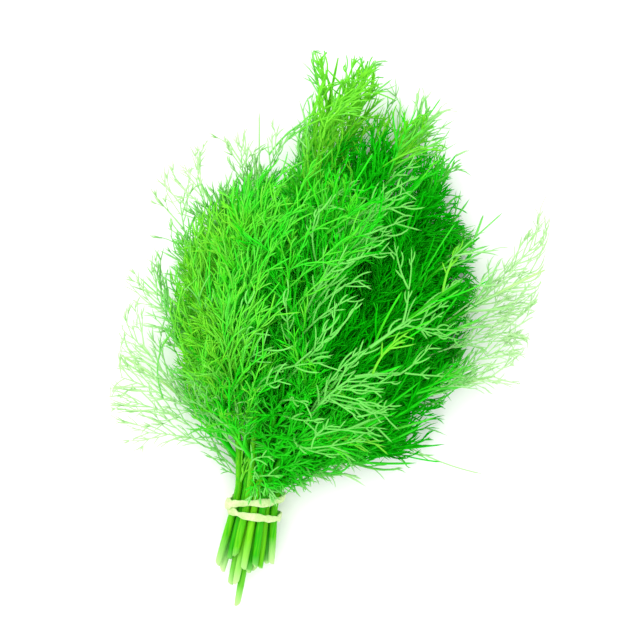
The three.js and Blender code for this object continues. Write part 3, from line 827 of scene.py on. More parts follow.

# %% [markdown]
# ## Strands on top
# Some large fronds lie on top of the bunch and catch the light, and pale wisps stand out at its sides. Chance
# could lay them too, but these few are what one knows a bunch by, so they are drawn one by one. Each is a
# curve that grows from a numbered stem or from another strand, so it hangs on something from every side. Most
# have only a place in the plan, and their height follows the foliage's rounded top.
#
# A row says what the strand grows from and at what share of it, where it bends and ends, and its radius.

# %% Pale green strands on top
STRANDS = {
    "long 1": (17, 0.34, (24, 65), (36, 79), 0.95),
    "long 2": ("long 1", 1.0, (48, 91), (60, 103), 0.85),
    "long 3": ("long 2", 1.0, (64, 109), (72, 116), 0.6),
    "beside long": (17, 0.31, (21, 66), (33, 78), 0.6),
    "low 1": (17, 0.28, (22, 59), (32, 66), 0.9),
    "low 2": ("low 1", 1.0, (36, 68), (53, 71), 0.75),
    "low 3": ("low 2", 1.0, (63, 71), (82, 74), 0.5),
    "low side": ("low 2", 0.95, (58, 76), (63, 86), 0.5),
    "middle 1": ("long 2", 0.5, (56, 90), (80, 94), 0.6),
    "middle 2": ("long 2", 0.52, (62, 89), (76, 89), 0.5),
    "upright 1": ("long 2", 0.5, (49, 99), (48, 106), 0.6),
    "upright 2": ("upright 1", 1.0, (43, 111), (38, 125), 0.55),
    "upright 3": ("upright 1", 1.0, (48, 114), (46, 124), 0.45),
    "comb 1": ("middle 1", 0.35, (58, 99), (60, 106), 0.6),
    "comb 2": ("comb 1", 0.3, (62, 100), (67, 105), 0.5),
    "comb 3": ("middle 1", 0.4, (62, 97), (66, 100), 0.5),
    "fan 1": ("low 1", 0.7, (37, 64), (51, 67), 0.5),
    "fan 2": ("low 1", 0.66, (32, 61), (46, 62), 0.5),
    "fan 3": ("low 1", 0.9, (38, 68), (47, 69), 0.45),
    "fan 4": ("low 1", 0.5, (30, 53), (36, 50), 0.55),
    "fan 5": ("fan 4", 1.0, (43, 52), (51, 58), 0.5),
    "fan 6": ("low 1", 0.55, (32, 58), (40, 56), 0.5),
    "left long 1": (16, 0.34, (13, 73), (19, 81), 0.65),
    "left long 2": ("left long 1", 1.0, (25, 87), (28, 98), 0.55),
    "left long 3": ("left long 1", 1.0, (20, 89), (18, 96), 0.45),
    "streak 1": (16, 0.52, (11, 108), (20, 112), 0.6),
    "streak 2": ("streak 1", 1.0, (29, 117), (40, 120), 0.5),
    "streak 3": (16, 0.54, (18, 109), (31, 124), 0.6),
    "streak 4": (16, 0.5, (17, 105), (30, 106), 0.55),
    "streak 5": (16, 0.6, (16, 116), (30, 136), 0.6),
    "streak 6": (16, 0.66, (20, 122), (36, 148), 0.6),
    "streak 7": (16, 0.46, (12, 90), (28, 100), 0.55),
    "streak 8": (11, 0.6, (5, 134), (20, 146), 0.5),
    "streak 9": (16, 0.78, (19, 129), (31, 143), 0.55),
    "streak 10": ("streak 9", 1.0, (37, 149), (44, 155), 0.45),
    "streak 11": (16, 0.74, (28, 126), (44, 136), 0.55),
    "streak 12": (16, 0.7, (23, 119), (38, 129), 0.5),
    "streak 13": ("streak 9", 0.4, (31, 141), (43, 148), 0.5),
    "streak 14": ("streak 9", 0.6, (32, 137), (46, 142), 0.5),
    "streak 15": (11, 0.58, (0, 130), (12, 134), 0.5),
    "streak 16": (12, 0.78, (34, 154), (43, 161), 0.5),
    "streak 17": (16, 0.7, (1, 122), (6, 132), 0.5),
    "arc 1": (15, 0.08, (-7, 24), (5, 25), 0.5),
    "arc 2": (15, 0.05, (0, 15), (11, 17), 0.5),
    "arc 3": (16, 0.09, (-6, 18), (0, 12), 0.5),
    "arc 4": (17, 0.28, (8, 31), (20, 32), 0.5),
    "arc 5": ("arc 4", 1.0, (19, 41), (28, 45), 0.5),
    "arc 6": ("arc 4", 0.6, (27, 28), (37, 34), 0.5),
    "ring 1": (16, 0.28, (7, 54), (16, 51), 0.5),
    "ring 2": (16, 0.25, (14, 42), (24, 47), 0.5),
    "fan 7": ("arc 5", 0.7, (35, 44), (49, 43), 0.5),
    "fan 8": ("low 1", 0.5, (39, 55), (49, 56), 0.5),
    "fan 9": ("arc 4", 0.9, (30, 35), (41, 41), 0.5),
    "fan 10": ("low 1", 0.45, (39, 53), (52, 52), 0.5),
    "fan 11": ("arc 5", 0.4, (36, 47), (51, 46), 0.5),
    "left 1": (9, 0.5, (-22, 70), (-10, 79), 0.5),
    "left 2": (9, 0.45, (-16, 66), (-2, 73), 0.5),
    "left 3": (15, 0.42, (2, 67), (20, 70), 0.55),
    "left 4": (9, 0.4, (-6, 54), (4, 61), 0.5),
    "left 5": (9, 0.55, (-28, 76), (-34, 86), 0.5),
    "left 6": (9, 0.62, (-36, 78), (-38, 90), 0.5),
    "left 7": (15, 0.5, (-20, 80), (-15, 92), 0.5),
    "left 8": (16, 0.42, (1, 83), (-2, 94), 0.5),
    "left 9": (16, 0.36, (15, 74), (17, 87), 0.5),
}
print(len(STRANDS), "pale green strands")

# %% Fronds below the hollow, painted dark as shade, which close the right edge
BACKS = {
    "back 1": (7, 0.60, (58, 136, 12), (69, 136, 8), 0.5),
    "back 2": (7, 0.70, (58, 146, 12), (65, 148, 8), 0.5),
    "back 3": (7, 0.50, (58, 122, 12), (73, 123, 9), 0.5),
    "back 4": (13, 0.70, (71, 114, 16), (76, 112, 10), 0.5),
    "back 5": (7, 0.80, (54, 156, 12), (58, 157, 8), 0.5),
    "back 6": (13, 0.60, (68, 101, 16), (77, 100, 9), 0.5),
    "back 7": (8, 0.60, (70, 88, 9), (77, 88, 7), 0.5),
    "back 8": (8, 0.50, (64, 74, 9), (74, 75, 6), 0.5),
    "back 9": (12, 0.75, (43, 158, 16), (50, 164, 10), 0.5),
}
print(len(BACKS), "dark fronds below")

# %% Small strands that hang over the tie
NECK_STRANDS = {
    "over tie 1": (16, 0.02, (1, 9, 23), (3, 1, 21.5), 0.45),
    "over tie 2": (16, 0.03, (5, 10, 24), (8, 3, 21), 0.45),
    "over tie 3": (15, 0.02, (-3, 8, 23), (-2, 3, 21.5), 0.45),
    "over tie 4": (16, 0.03, (-1, 11, 24), (-5, 4, 21.5), 0.45),
    "over tie 5": (17, 0.02, (6, 9, 23), (9, 2, 20), 0.45),
    "over tie 6": (15, 0.04, (-1, 12, 24.5), (1, 4, 22.5), 0.45),
    "over tie 7": (16, 0.02, (-1, 9, 23), (-3, 0, 21), 0.45),
    "over tie 8": (16, 0.05, (3, 13, 25), (5, 6, 23), 0.45),
}
print(len(NECK_STRANDS), "strands over the tie")

# %% Young yellow strands: at the tips, and at the left of the neck
YELLOW_STRANDS = {
    "short 1": ("low 2", 0.5, (41, 80), (52, 89), 0.65),
    "short 2": ("short 1", 0.4, (46, 82), (50, 85), 0.55),
    "edge 1": ("long 3", 0.35, (63, 119), (68, 131), 0.7),
    "edge 2": ("edge 1", 0.4, (65, 122), (72, 129), 0.6),
    "high 1": (11, 0.7, (0, 157), (2, 174), 0.5),
    "horn 1": (11, 0.88, (-3, 190), (-9, 202), 0.5),
    "horn 2": (11, 0.8, (-3, 182), (-8, 194), 0.5),
    "horn 3": (6, 0.9, (14, 196), (17, 203), 0.5),
    "high 2": (11, 0.64, (-2, 150), (-7, 164), 0.5),
    "high 3": (6, 0.86, (8, 184), (4, 200), 0.5),
    "left edge 1": (10, 0.7, (-37, 110), (-33, 124), 0.5),
    "left edge 2": (9, 0.7, (-38, 84), (-40, 100), 0.5),
    "low edge": (17, 0.22, (30, 42), (52, 38), 0.6),
    "neck 1": (9, 0.01, (-9, 17, 15.5), (-10.5, 30, 17), 0.65),
    "neck 2": (9, 0.0, (-7.5, 12, 15), (-8, 22, 17), 0.55),
    "neck 3": (9, 0.0, (-6.5, 14, 16), (-5, 27, 19), 0.5),
}
print(len(YELLOW_STRANDS), "yellow strands")

# %% Pale wisps at both sides, and green ones at the left and the top
WISPS = {
    "right 1": (14, 0.62, (92, 120), (103, 139), 0.45),
    "right 2": (14, 0.58, (90, 112), (104, 126), 0.45),
    "right 3": (14, 0.55, (90, 104), (103, 111), 0.45),
    "right 4": (14, 0.48, (86, 94), (99, 97), 0.45),
    "right 5": (8, 0.60, (84, 83), (96, 88), 0.45),
    "right 6": (8, 0.66, (84, 75), (95, 76), 0.4),
    "left wisp 1": (0, 0.42, (-46, 46), (-71, 46), 0.45),
    "left wisp 2": (0, 0.36, (-46, 38), (-66, 36), 0.4),
    "left wisp 3": (0, 0.30, (-38, 28), (-54, 24), 0.4),
    "left wisp 4": (0, 0.50, (-52, 56), (-68, 66), 0.4),
}
GREEN_WISPS = {
    "left wisp 5": (4, 0.70, (-50, 72), (-58, 86), 0.4),
    "left wisp 6": (9, 0.72, (-50, 108), (-55, 128), 0.4),
    "left wisp 7": (10, 0.66, (-44, 126), (-50, 138), 0.4),
    "left wisp 8": (5, 0.70, (-30, 140), (-32, 152), 0.4),
    "left wisp 9": (5, 0.80, (-20, 146), (-16, 154), 0.4),
}
print(len(WISPS), "pale wisps and", len(GREEN_WISPS), "green ones")

# %% Fronds that spread low at the left of the neck
LOW_LEFT = {
    "low left 1": (0, 0.08, (-17, 17, 9), (-27, 24, 10), 0.5),
    "low left 2": ("low left 1", 1.0, (-37, 31, 10), (-47, 36, 9), 0.45),
    "low left 3": (4, 0.06, (-15, 20, 12), (-24, 30, 14), 0.5),
    "low left 4": ("low left 3", 1.0, (-33, 37, 14), (-44, 42, 12), 0.45),
    "low left 5": (0, 0.05, (-12, 10.5, 8), (-20, 17, 8), 0.4),
    "low left 6": ("low left 1", 0.7, (-30, 22, 8), (-38, 26, 7), 0.4),
}
print(len(LOW_LEFT), "low fronds")

# %% Strands from the tables
LIFT = 1.5  # this far above the foliage's rounded top
SADDLE, SADDLE_FLOOR = 10, 20  # over the hollow the strands hang so much lower, but no lower than this
NECK_TOP, NECK_SLOPE = 17, 0.95
LOWEST_TOP, TOP_MARGIN = 4, 2
STRAND_THICK, STRAND_THIN, STRAND_TIP = 0.88, 0.5, 0.5  # the first two are shares of the table's radius
KEPT_ALL, KEPT_INSIDE = 1, 0.5
BACK_SHADE = 0.85


def top_of(x, y):
    """Height at which a strand lies over a point of the plan: on the foliage, or on the neck's slope."""
    x, y = np.atleast_1d(x), np.atleast_1d(y)
    roof = roof_height(x, y) + LIFT
    roof = np.maximum(roof - SADDLE * hollow(x, y), np.minimum(roof, SADDLE_FLOOR))
    return np.clip(np.minimum(roof, NECK_TOP + NECK_SLOPE * (y - NECK)), LOWEST_TOP, BOX_HIGH[2] - TOP_MARGIN)


def on_top(place):
    """A point as it is, or one of the plan at the height at which strands lie over it."""
    return vec(*place) if len(place) == 3 else vec(*place, top_of(*place)[0])


def placed(table, grown, tone, pale):
    """Threads for a table of strands. `grown` holds the earlier strands by name, and gains the new ones."""
    rows = []
    for name, (parent, share, bend, end, radius) in table.items():
        if isinstance(parent, int):
            shoot, start = parent, AXES[parent].at(share)
        else:
            shoot, start = grown[parent][0], bow(*grown[parent][1:], share)
        grown[name] = (shoot, start, on_top(bend), on_top(end))
        rows.append((*grown[name], radius))
    shoot, start, bend, end, thick = (np.array(column) for column in zip(*rows))
    return Threads(
        start=start, bend=bend, end=held_in(end, thick), up=upright(start, end),
        thick=STRAND_THICK * thick, thin=STRAND_THIN * thick, shoot=shoot,
        tone=tone, tip=STRAND_TIP, pale=pale, kept=KEPT_ALL,
    )  # fmt: skip


grown = {}
TOPS = together(
    # painted highlight: the strands on top are paled where they catch the lamp
    placed(STRANDS, grown, tone=0.5, pale=0.26),
    placed(YELLOW_STRANDS, grown, tone=1.1, pale=0.04),
    placed(NECK_STRANDS, grown, tone=0.3, pale=0.02),
)
FANS = together(
    # painted light: the wisps and low fronds at the sides are washed out pale
    placed(WISPS, grown, tone=0.8, pale=0.6),
    placed(GREEN_WISPS, grown, tone=0.9, pale=0.3),
    placed(LOW_LEFT, grown, tone=0.7, pale=0.35),
)
UNDER = placed(BACKS, grown, tone=0.3, pale=0)
# painted shade: the fronds below the hollow are painted dark
UNDER.deep[:] = BACK_SHADE
UNDER.kept[:] = KEPT_INSIDE
print(len(TOPS), "strands on top,", len(FANS), "wisps,", len(UNDER), "below")

# %% [markdown]
# ## Branches, threads and forks
# A reach says how long the branches of one generation are: on a frond they are longest a third of the way
# out, and on a thin strand they only get shorter. The rest is the same growth with other measures, so a new
# kind of twig needs a line here and no new code.

# %% Branches
LONGEST_BRANCH, BRANCH_SHARE = 27, 0.5
FULLEST = 0.3  # branches are longest this share of the way out
NARROWING, ROUNDNESS = 0.5, 1.2
SHORTENING = 0.4


def branch_reach(length, place):
    """Longest a third of the way out, like the blade of a frond."""
    off_middle = np.abs((place - FULLEST) / (1 - FULLEST))
    return np.minimum(LONGEST_BRANCH, BRANCH_SHARE * length) * (1 - NARROWING * off_middle**ROUNDNESS)


def tapering(share, shortest, longest):
    """A reach that is a share of the parent's length, gets shorter on the way out, and has two limits."""

    def reach(length, place):
        return np.clip(share * length * (1 - SHORTENING * place), shortest, longest)

    return reach


BRANCH_TILT = (-0.75, 1.0)
DROOP = 0.04
ribs = together(RIBS, SPRIGS)
branches = together(
    sprout(
        ribs, seed=11, gap=4.6, along=(0.1, 0.97), reach=branch_reach, lean=(0.2, 0.7),
        tilt=BRANCH_TILT, curl=(0.1, 1.1), wild=1.5, radii=(0.58, 0.38), droop=DROOP,
    ),
    sprout(
        NECK_TUFTS, seed=14, gap=4.0, along=(0.15, 0.97), reach=branch_reach, lean=(0.4, 1.0),
        tilt=BRANCH_TILT, curl=(-0.4, 1.0), wild=1.2, radii=(0.5, 0.36),
    ),
    sprout(
        UNDER, seed=16, gap=3.0, along=(0.1, 0.97), reach=branch_reach, lean=(0.3, 0.9),
        tilt=BRANCH_TILT, curl=(0.1, 1.1), wild=1.5, radii=(0.58, 0.38), droop=DROOP,
    ),
    sprout(
        FANS, seed=13, gap=6, along=(0.35, 0.97), reach=tapering(0.5, 4, 15), lean=(0.35, 0.7),
        tilt=BRANCH_TILT, curl=(0.1, 1.0), wild=0.8, radii=(0.37, 0.26), droop=DROOP,
    ),
)  # fmt: skip
print(len(branches), "branches")

# %% Light strands that run with the flow of the bunch
STRAY_SEED = 41
STRAY_EVERY = 1.7  # of this many lit branches, one carries a strand
STRAY_LENGTH, STRAY_RADIUS, STRAY_THIN = (18, 40), 0.44, 0.6
STRAY_ROOT, STRAY_ROOT_SPREAD = 0.2, 0.3  # share of the branch at which it leaves
STRAY_BEND, STRAY_HOOK = 0.55, 0.5  # shares of its length before and after its bend
FLOW_SPREAD = 0.8  # radians by which a strand may leave the flow
FLOW_TURN, TURN_SHARE = 1.5, 0.3  # radians by which it bends, and the share of them to the left
FLOW_FROM = 15  # the flow spreads from a point this far behind the band
SWEEP = 0.65  # radians by which the flow of the upper right turns to the right
SWEEP_FROM, SWEEP_FADE = (-30, 30), 30
LIT_DEPTH, LIT_SHADE = 0.6, 0.5  # no strand grows from a branch deeper or darker than this
STRAY_HOLLOW, STRAY_OUTSIDE, STRAY_LOWEST = 0.3, 2, 12
# painted highlight: the light strands are paled a little
BRANCH_TONE, STRAY_TONE, STRAY_PALE = 0.6, 0.2, 0.05  # the first is the share it takes of its branch's tone


def level_step(angle, size):
    """A level step of the given size, at an angle from the right side of the bunch."""
    return np.stack([np.cos(angle), np.sin(angle), 0 * angle], 1) * size[:, None]


def strands_over(parents):
    """Long light strands that leave some of the top branches and run with the flow of the bunch."""
    which = np.arange(len(parents))
    lit = (parents.depth() < LIT_DEPTH) & (parents.deep < LIT_SHADE)
    top = parents.only(lit & (chance(which, STRAY_SEED, 1) < 1 / STRAY_EVERY))
    which = np.arange(len(top))
    start = top.at(STRAY_ROOT + STRAY_ROOT_SPREAD * chance(which, STRAY_SEED, 2))
    x, y = start[:, 0], start[:, 1]
    to_right = np.clip((x - SWEEP_FROM[0]) / SWEEP_FADE, 0, 1)
    to_top = np.clip((y - SWEEP_FROM[1]) / SWEEP_FADE, 0, 1)
    flow = np.arctan2(y + FLOW_FROM, x)
    flow -= SWEEP * to_right * to_top
    flow += FLOW_SPREAD * (chance(which, STRAY_SEED, 3) - 0.5)
    turn = FLOW_TURN * (chance(which, STRAY_SEED, 4) - TURN_SHARE)
    size = between(STRAY_LENGTH, chance(which, STRAY_SEED, 5))
    bend = start + level_step(flow, STRAY_BEND * size)
    end = bend + level_step(flow - turn, STRAY_HOOK * size)
    for point in (bend, end):
        point[:, 2] = top_of(point[:, 0], point[:, 1])
    made = Threads(
        start=start, bend=held_in(bend, STRAY_RADIUS), end=held_in(end, STRAY_RADIUS), up=upright(start, end),
        thick=STRAY_RADIUS, thin=STRAY_THIN * STRAY_RADIUS, shoot=top.shoot,
        tone=BRANCH_TONE * top.tone + STRAY_TONE, tip=STRAND_TIP, pale=STRAY_PALE, kept=KEPT_ALL,
    )  # fmt: skip
    inside = hollow(end[:, 0], end[:, 1]) < STRAY_HOLLOW
    inside &= beyond(CORE, end[:, 0], end[:, 1]) < STRAY_OUTSIDE
    return made.only(inside & (bend[:, 2] > STRAY_LOWEST))


STRAYS = strands_over(branches)
print(len(STRAYS), "strands over the top")

# %% Short branches of the strands
SHORT_TILT = (-0.5, 0.3)
short_reach = tapering(0.4, 3, 10)
short_branches = together(
    sprout(
        TOPS, seed=12, gap=9.0, along=(0.25, 0.92), reach=short_reach, lean=(0.35, 0.8),
        tilt=SHORT_TILT, curl=(0.3, 1.5), wild=1.4, radii=(0.48, 0.32),
    ),
    sprout(
        STRAYS, seed=15, gap=12.0, along=(0.2, 0.95), reach=short_reach, lean=(0.15, 0.6),
        tilt=SHORT_TILT, curl=(-0.2, 1.4), wild=1.8, radii=(0.42, 0.3),
    ),
)  # fmt: skip
print(len(short_branches), "short branches")

# %% Threads and forks
FORK_SHARE = 0.55


def fork_reach(length, place):
    return FORK_SHARE * length


PALE_THINNER = (0.5, 0.35)  # how much thinner the palest threads are, at the root and at the tip
FORKED = 8  # a thread longer than this forks
threads = sprout(
    branches, seed=23, gap=7.4, along=(0.2, 0.94), reach=tapering(0.6, 4, 14), lean=(0.1, 0.5),
    tilt=(-0.7, 0.7), curl=(-0.4, 1.0), wild=2.0, radii=(0.46, 0.29),
)  # fmt: skip
threads.thick *= 1 - PALE_THINNER[0] * np.clip(threads.pale, 0, 1)
threads.thin *= 1 - PALE_THINNER[1] * np.clip(threads.pale, 0, 1)
forks = sprout(
    threads.only(threads.length() > FORKED), seed=37, gap=14.0, along=(0.25, 0.75), reach=fork_reach,
    lean=(0.2, 0.5), tilt=(-0.6, 0.6), curl=(-0.3, 0.6), wild=1.4, radii=(0.4, 0.28),
)  # fmt: skip
branches = together(branches, short_branches)
print(len(branches), "branches,", len(threads), "threads,", len(forks), "forks")

# %% [markdown]
# ## From rows to meshes
# A thread becomes a tapered tube with three to five sides. Three are enough where a thread is a millimetre
# wide and its shading is smooth. Each curve lies in a plane, so its rings keep one direction across that
# plane and the tube doesn't twist. Every tube has its own cell in a map, with no overlap, for baking. Meshes
# are filled from whole arrays, because adding so many faces one by one would take minutes.

# %% Faces between rings, and blocks of tubes
def ring_faces(rings, spans, sides):
    """Faces that join `spans` pairs of rings of corners, and their places in a map of the tube."""
    i, k = (grid.ravel() for grid in np.meshgrid(np.arange(spans), np.arange(sides), indexing="ij"))
    near, far, beside = i * sides, (i + 1) % rings * sides, (k + 1) % sides
    faces = np.stack([near + k, near + beside, far + beside, far + k], 1)
    u = np.stack([i, i, i + 1, i + 1], 1) / rings
    v = np.stack([k, k + 1, k + 1, k], 1) / sides
    return faces, u, v


VALUES = ("along", "lot", "tone", "tip", "pale", "deep")


def block(corners, loops, sizes, u, v, count=1, **values):
    """Equal tubes as one block. The faces and map places are those of one tube. A missing value is 0."""
    each = loops.max() + 1
    made = {name: np.broadcast_to(values.get(name, 0.0), (count, each)).ravel() for name in VALUES}
    return made | {
        "corners": corners,
        "loops": (np.arange(count)[:, None] * each + loops).ravel(),
        "sizes": np.tile(sizes, count),
        "cell": np.repeat(np.arange(count), len(loops)),
        "uv": np.tile(np.stack([u, v], 1), (count, 1)),
        "tubes": count,
    }


def above_table(corners):
    """Corners that would sink in the table, lifted onto it."""
    corners[..., 2] = np.maximum(corners[..., 2], 0)
    return corners.reshape(-1, 3)


# %% Tapered tubes along threads
STRAIGHT = 1e-6
ROOT_CAP = (-0.06, 0.05)  # where the cap of a tube's root lies in the map, and how wide it is
CAP_MIDDLE, CAP_HIGH = 0.5, 0.4  # where a cap lies across its cell, and how high it is


def tube_block(rows, sides, steps):
    """Tapered tubes with `steps` rings each, a cap at the root and a point at the tip."""
    count = len(rows)
    t = np.linspace(0, 1, steps + 1)[None, :, None]
    points = bow(rows.start[:, None], rows.bend[:, None], rows.end[:, None], t)
    heading = unit((1 - t) * (rows.bend - rows.start)[:, None] + t * (rows.end - rows.bend)[:, None])
    flat = np.cross(rows.bend - rows.start, rows.end - rows.start)
    straight = np.linalg.norm(flat, axis=1) < STRAIGHT
    flat[straight] = np.cross(rows.end - rows.start, UP)[straight]
    flat = unit(flat)[:, None]
    other = np.cross(flat, heading)
    radius = rows.thick[:, None] + (rows.thin - rows.thick)[:, None] * t[..., 0]
    angle = 2 * pi * np.arange(sides) / sides
    around = flat[:, :, None] * np.cos(angle)[None, None, :, None]
    around = around + other[:, :-1, None] * np.sin(angle)[None, None, :, None]
    rings = points[:, :-1, None] + around * radius[:, :-1, None, None]
    corners = np.concatenate([rings.reshape(count, -1, 3), points[:, -1:]], 1)

    quads, quad_u, quad_v = ring_faces(steps, steps - 1, sides)
    k = np.arange(sides)
    last = (steps - 1) * sides
    tips = np.stack([last + k, last + (k + 1) % sides, np.full(sides, steps * sides)], 1)
    tip_u = np.tile([steps - 1, steps - 1, steps], (sides, 1)) / steps
    tip_v = np.stack([k, k + 1, k + 0.5], 1) / sides
    cap_u = ROOT_CAP[0] + ROOT_CAP[1] * np.cos(angle)[::-1]
    cap_v = CAP_MIDDLE + CAP_HIGH * np.sin(angle)[::-1]
    return block(
        above_table(corners),
        loops=np.concatenate([quads.ravel(), tips.ravel(), k[::-1]]),
        sizes=np.concatenate([np.full(len(quads), 4), np.full(sides, 3), [sides]]),
        u=np.concatenate([quad_u.ravel(), tip_u.ravel(), cap_u]),
        v=np.concatenate([quad_v.ravel(), tip_v.ravel(), cap_v]),
        count=count,
        along=np.concatenate([np.repeat(np.arange(steps) / steps, sides), [1.0]]),
        lot=chance(np.arange(count), rows.shoot, 51)[:, None],
        **{name: getattr(rows, name)[:, None] for name in ("tone", "tip", "pale", "deep")},
    )


# %% One mesh from blocks of tubes
CELL_SHAPE = 5  # a tube's cell in the map is this many times as long as it is high
CELL_LEFT, CELL_LOW, CELL_FILLED = 0.14, 0.1, 0.8


def mesh_of(name, blocks):
    """One smooth mesh from blocks of tubes, with each tube in its own cell of the map."""

    def of_all(key):
        return np.concatenate([part[key] for part in blocks])

    def counted_on(key, counts):
        """Whole numbers of all blocks, where each block counts on from the one before it."""
        firsts = np.cumsum([0, *counts])
        return np.concatenate([part[key] + first for part, first in zip(blocks, firsts)])

    tubes = [part["tubes"] for part in blocks]
    corners, sizes, uv = of_all("corners") + vec(0, BAND_TO_ORIGIN, 0), of_all("sizes"), of_all("uv")
    loops = counted_on("loops", [len(part["corners"]) for part in blocks])
    cell = counted_on("cell", tubes)
    columns = max(1, round(np.sqrt(sum(tubes) / CELL_SHAPE)))
    lines = int(np.ceil(sum(tubes) / columns))
    u = (cell % columns + CELL_LEFT + CELL_FILLED * uv[:, 0]) / columns
    v = (cell // columns + CELL_LOW + CELL_FILLED * uv[:, 1]) / lines

    mesh = bpy.data.meshes.new(name)
    mesh.vertices.add(len(corners))
    mesh.vertices.foreach_set("co", (corners * MM).astype(np.float32).ravel())
    mesh.loops.add(len(loops))
    mesh.loops.foreach_set("vertex_index", loops.astype(np.int32))
    mesh.polygons.add(len(sizes))
    mesh.polygons.foreach_set("loop_start", (np.cumsum(sizes) - sizes).astype(np.int32))
    mesh.polygons.foreach_set("loop_total", sizes.astype(np.int32))
    mesh.polygons.foreach_set("use_smooth", np.ones(len(sizes), bool))
    for value in VALUES:
        layer = mesh.attributes.new(value, "FLOAT", "POINT")
        layer.data.foreach_set("value", of_all(value).astype(np.float32))
    map_places = np.stack([u, v], 1).astype(np.float32).ravel()
    mesh.uv_layers.new(name="OFBake").uv.foreach_set("vector", map_places)
    mesh.update()
    mesh.validate()
    return mesh


def piece(name, blocks, finish, node):
    """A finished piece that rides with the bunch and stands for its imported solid."""
    mesh = mesh_of(name, blocks)
    made = bpy.data.objects.new(name, mesh)
    mesh.materials.append(finish.material)
    bpy.context.scene.collection.objects.link(made)
    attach(made, "root")
    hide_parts(node)
    return sum(len(face.vertices) - 2 for face in mesh.polygons)


# %% [markdown]
# ## Finishes
# A finish here is a small sum: a few colours, and shares of them that change from place to place. It could be
# laid out by hand as a net of nodes, but a net is hard to read and to change. The class below lets such a sum
# be written as one, and adds a node for each sign in it.

# %% Shader arithmetic
class Wire:
    """A node's output. Arithmetic on wires adds Math nodes."""

    def __init__(self, finish, socket):
        self.finish, self.socket = finish, socket

    def math(self, operation, a, b):
        return self.finish.node("ShaderNodeMath", {"operation": operation}, {0: a, 1: b})

    def __add__(self, other):
        return self.math("ADD", self, other)

    def __sub__(self, other):
        return self.math("SUBTRACT", self, other)

    def __rsub__(self, other):
        return self.math("SUBTRACT", other, self)

    def __mul__(self, other):
        return self.math("MULTIPLY", self, other)

    __radd__ = __add__
    __rmul__ = __mul__


class Finish:
    """A material, built one node at a time."""

    def __init__(self, name):
        self.material = bpy.data.materials.new(name)
        self.material.use_nodes = True
        self.tree = self.material.node_tree
        self.shader = self.tree.nodes["Principled BSDF"]

    def node(self, kind, settings, inputs, out=0):
        """Adds a node: its settings first, then the values or wires of its sockets."""
        made = self.tree.nodes.new(kind)
        for name, value in settings.items():
            setattr(made, name, value)
        for name, value in inputs.items():
            if isinstance(value, Wire):
                self.tree.links.new(value.socket, made.inputs[name])
            else:
                made.inputs[name].default_value = value
        return Wire(self, made.outputs[out])

    def value_of(self, name):
        """A number that the mesh carries at its corners."""
        return self.node("ShaderNodeAttribute", {"attribute_name": name}, {}, "Fac")

    def mix(self, share, a, b):
        """Colour a where share is 0, and b where it is 1."""
        settings = {"data_type": "RGBA", "clamp_factor": True}
        return self.node("ShaderNodeMix", settings, {0: share, 6: a, 7: b}, 2)

    def noise(self, scale, detail=2.0, squeeze=(1, 1, 1)):
        """Soft noise from 0 to 1, fixed to the bunch. The scale is in lumps a metre. Squeeze alters it."""
        place = self.node("ShaderNodeTexCoord", {}, {}, "Object")
        place = self.node("ShaderNodeVectorMath", {"operation": "MULTIPLY"}, {0: place, 1: squeeze})
        return self.node("ShaderNodeTexNoise", {}, {"Vector": place, "Scale": scale, "Detail": detail}, "Fac")

    def set(self, **inputs):
        """Feeds sockets of the shader. An underscore stands for a space in a socket's name."""
        for name, value in inputs.items():
            socket = self.shader.inputs[name.replace("_", " ")]
            if isinstance(value, Wire):
                self.tree.links.new(value.socket, socket)
            else:
                socket.default_value = value

    def bump(self, height, distance):
        """Small unevenness: `distance` is the height of a bump in metres."""
        inputs = {"Height": height, "Distance": distance, "Strength": 1.0}
        return self.node("ShaderNodeBump", {}, inputs, "Normal")


# %% [markdown]
# ## Leaf green
# Fresh dill is bright green in the light, nearly black-green deep inside, yellower where it is young, and
# washed out at its finest ends. One green with shadows alone looks like plastic. So much of that light and
# shade is painted into the colour: painted shade darkens leaves below the foliage's top and in the hollow,
# painted light makes the side toward the lamp yellower and lighter, a painted highlight lights the ends of
# some threads and the strands on top, and painted light washes out the threads past the core. So every corner
# of a leaf carries numbers, which say how yellow and how lit, how much in painted shade and how pale it is and
# which lot it drew, and soft clouds of noise shift the greens from place to place. Dill hardly shines, so its
# gloss is set very low.

# %% Leaf green
# the darkest green is painted shade, mixed with random clouds of older leaves; the light green is a painted
# highlight; the pale green is painted light that washes threads out; the yellow green is partly young leaves
# and partly painted light on the side toward the lamp
SHADE_AND_CLOUD_GREEN = (0.001, 0.47, 0.0006, 1)
FRESH_GREEN = (0.012, 0.73, 0.006, 1)
YOUNG_AND_LIT_GREEN = (0.2, 0.76, 0.026, 1)
PAINTED_LIGHT_GREEN = (0.15, 0.66, 0.09, 1)
PALE_GREEN = (0.54, 0.87, 0.40, 1)
CLOUDS, GRAIN = 55.0, 700.0  # lumps a metre
LEAF_SHINE = 0.02

leaf = Finish("dill_leaf")
along, lot, tone, tip, pale, deep = (leaf.value_of(name) for name in VALUES)
clouds = leaf.noise(CLOUDS)
# painted shade: leaves below the foliage's top and in the hollow go dark, and so do leaves of a low tone and
# random clouds of older ones
shade = 1.3 * deep + 1.4 * (clouds - 0.5) + 0.5 * (0.5 - tone) - 0.15
body_green = leaf.mix(shade, FRESH_GREEN, SHADE_AND_CLOUD_GREEN)
# young fronds and outer threads go yellow between the clouds, and painted light makes the side toward the lamp
# yellow too, but never where painted shade lies deep inside
youth_and_light = 1.5 * tone + 0.4 * tip + 0.3 * lot - 0.85 - 1.2 * (clouds - 0.5) - 3.0 * deep
young_and_lit_green = leaf.mix(youth_and_light, body_green, YOUNG_AND_LIT_GREEN)
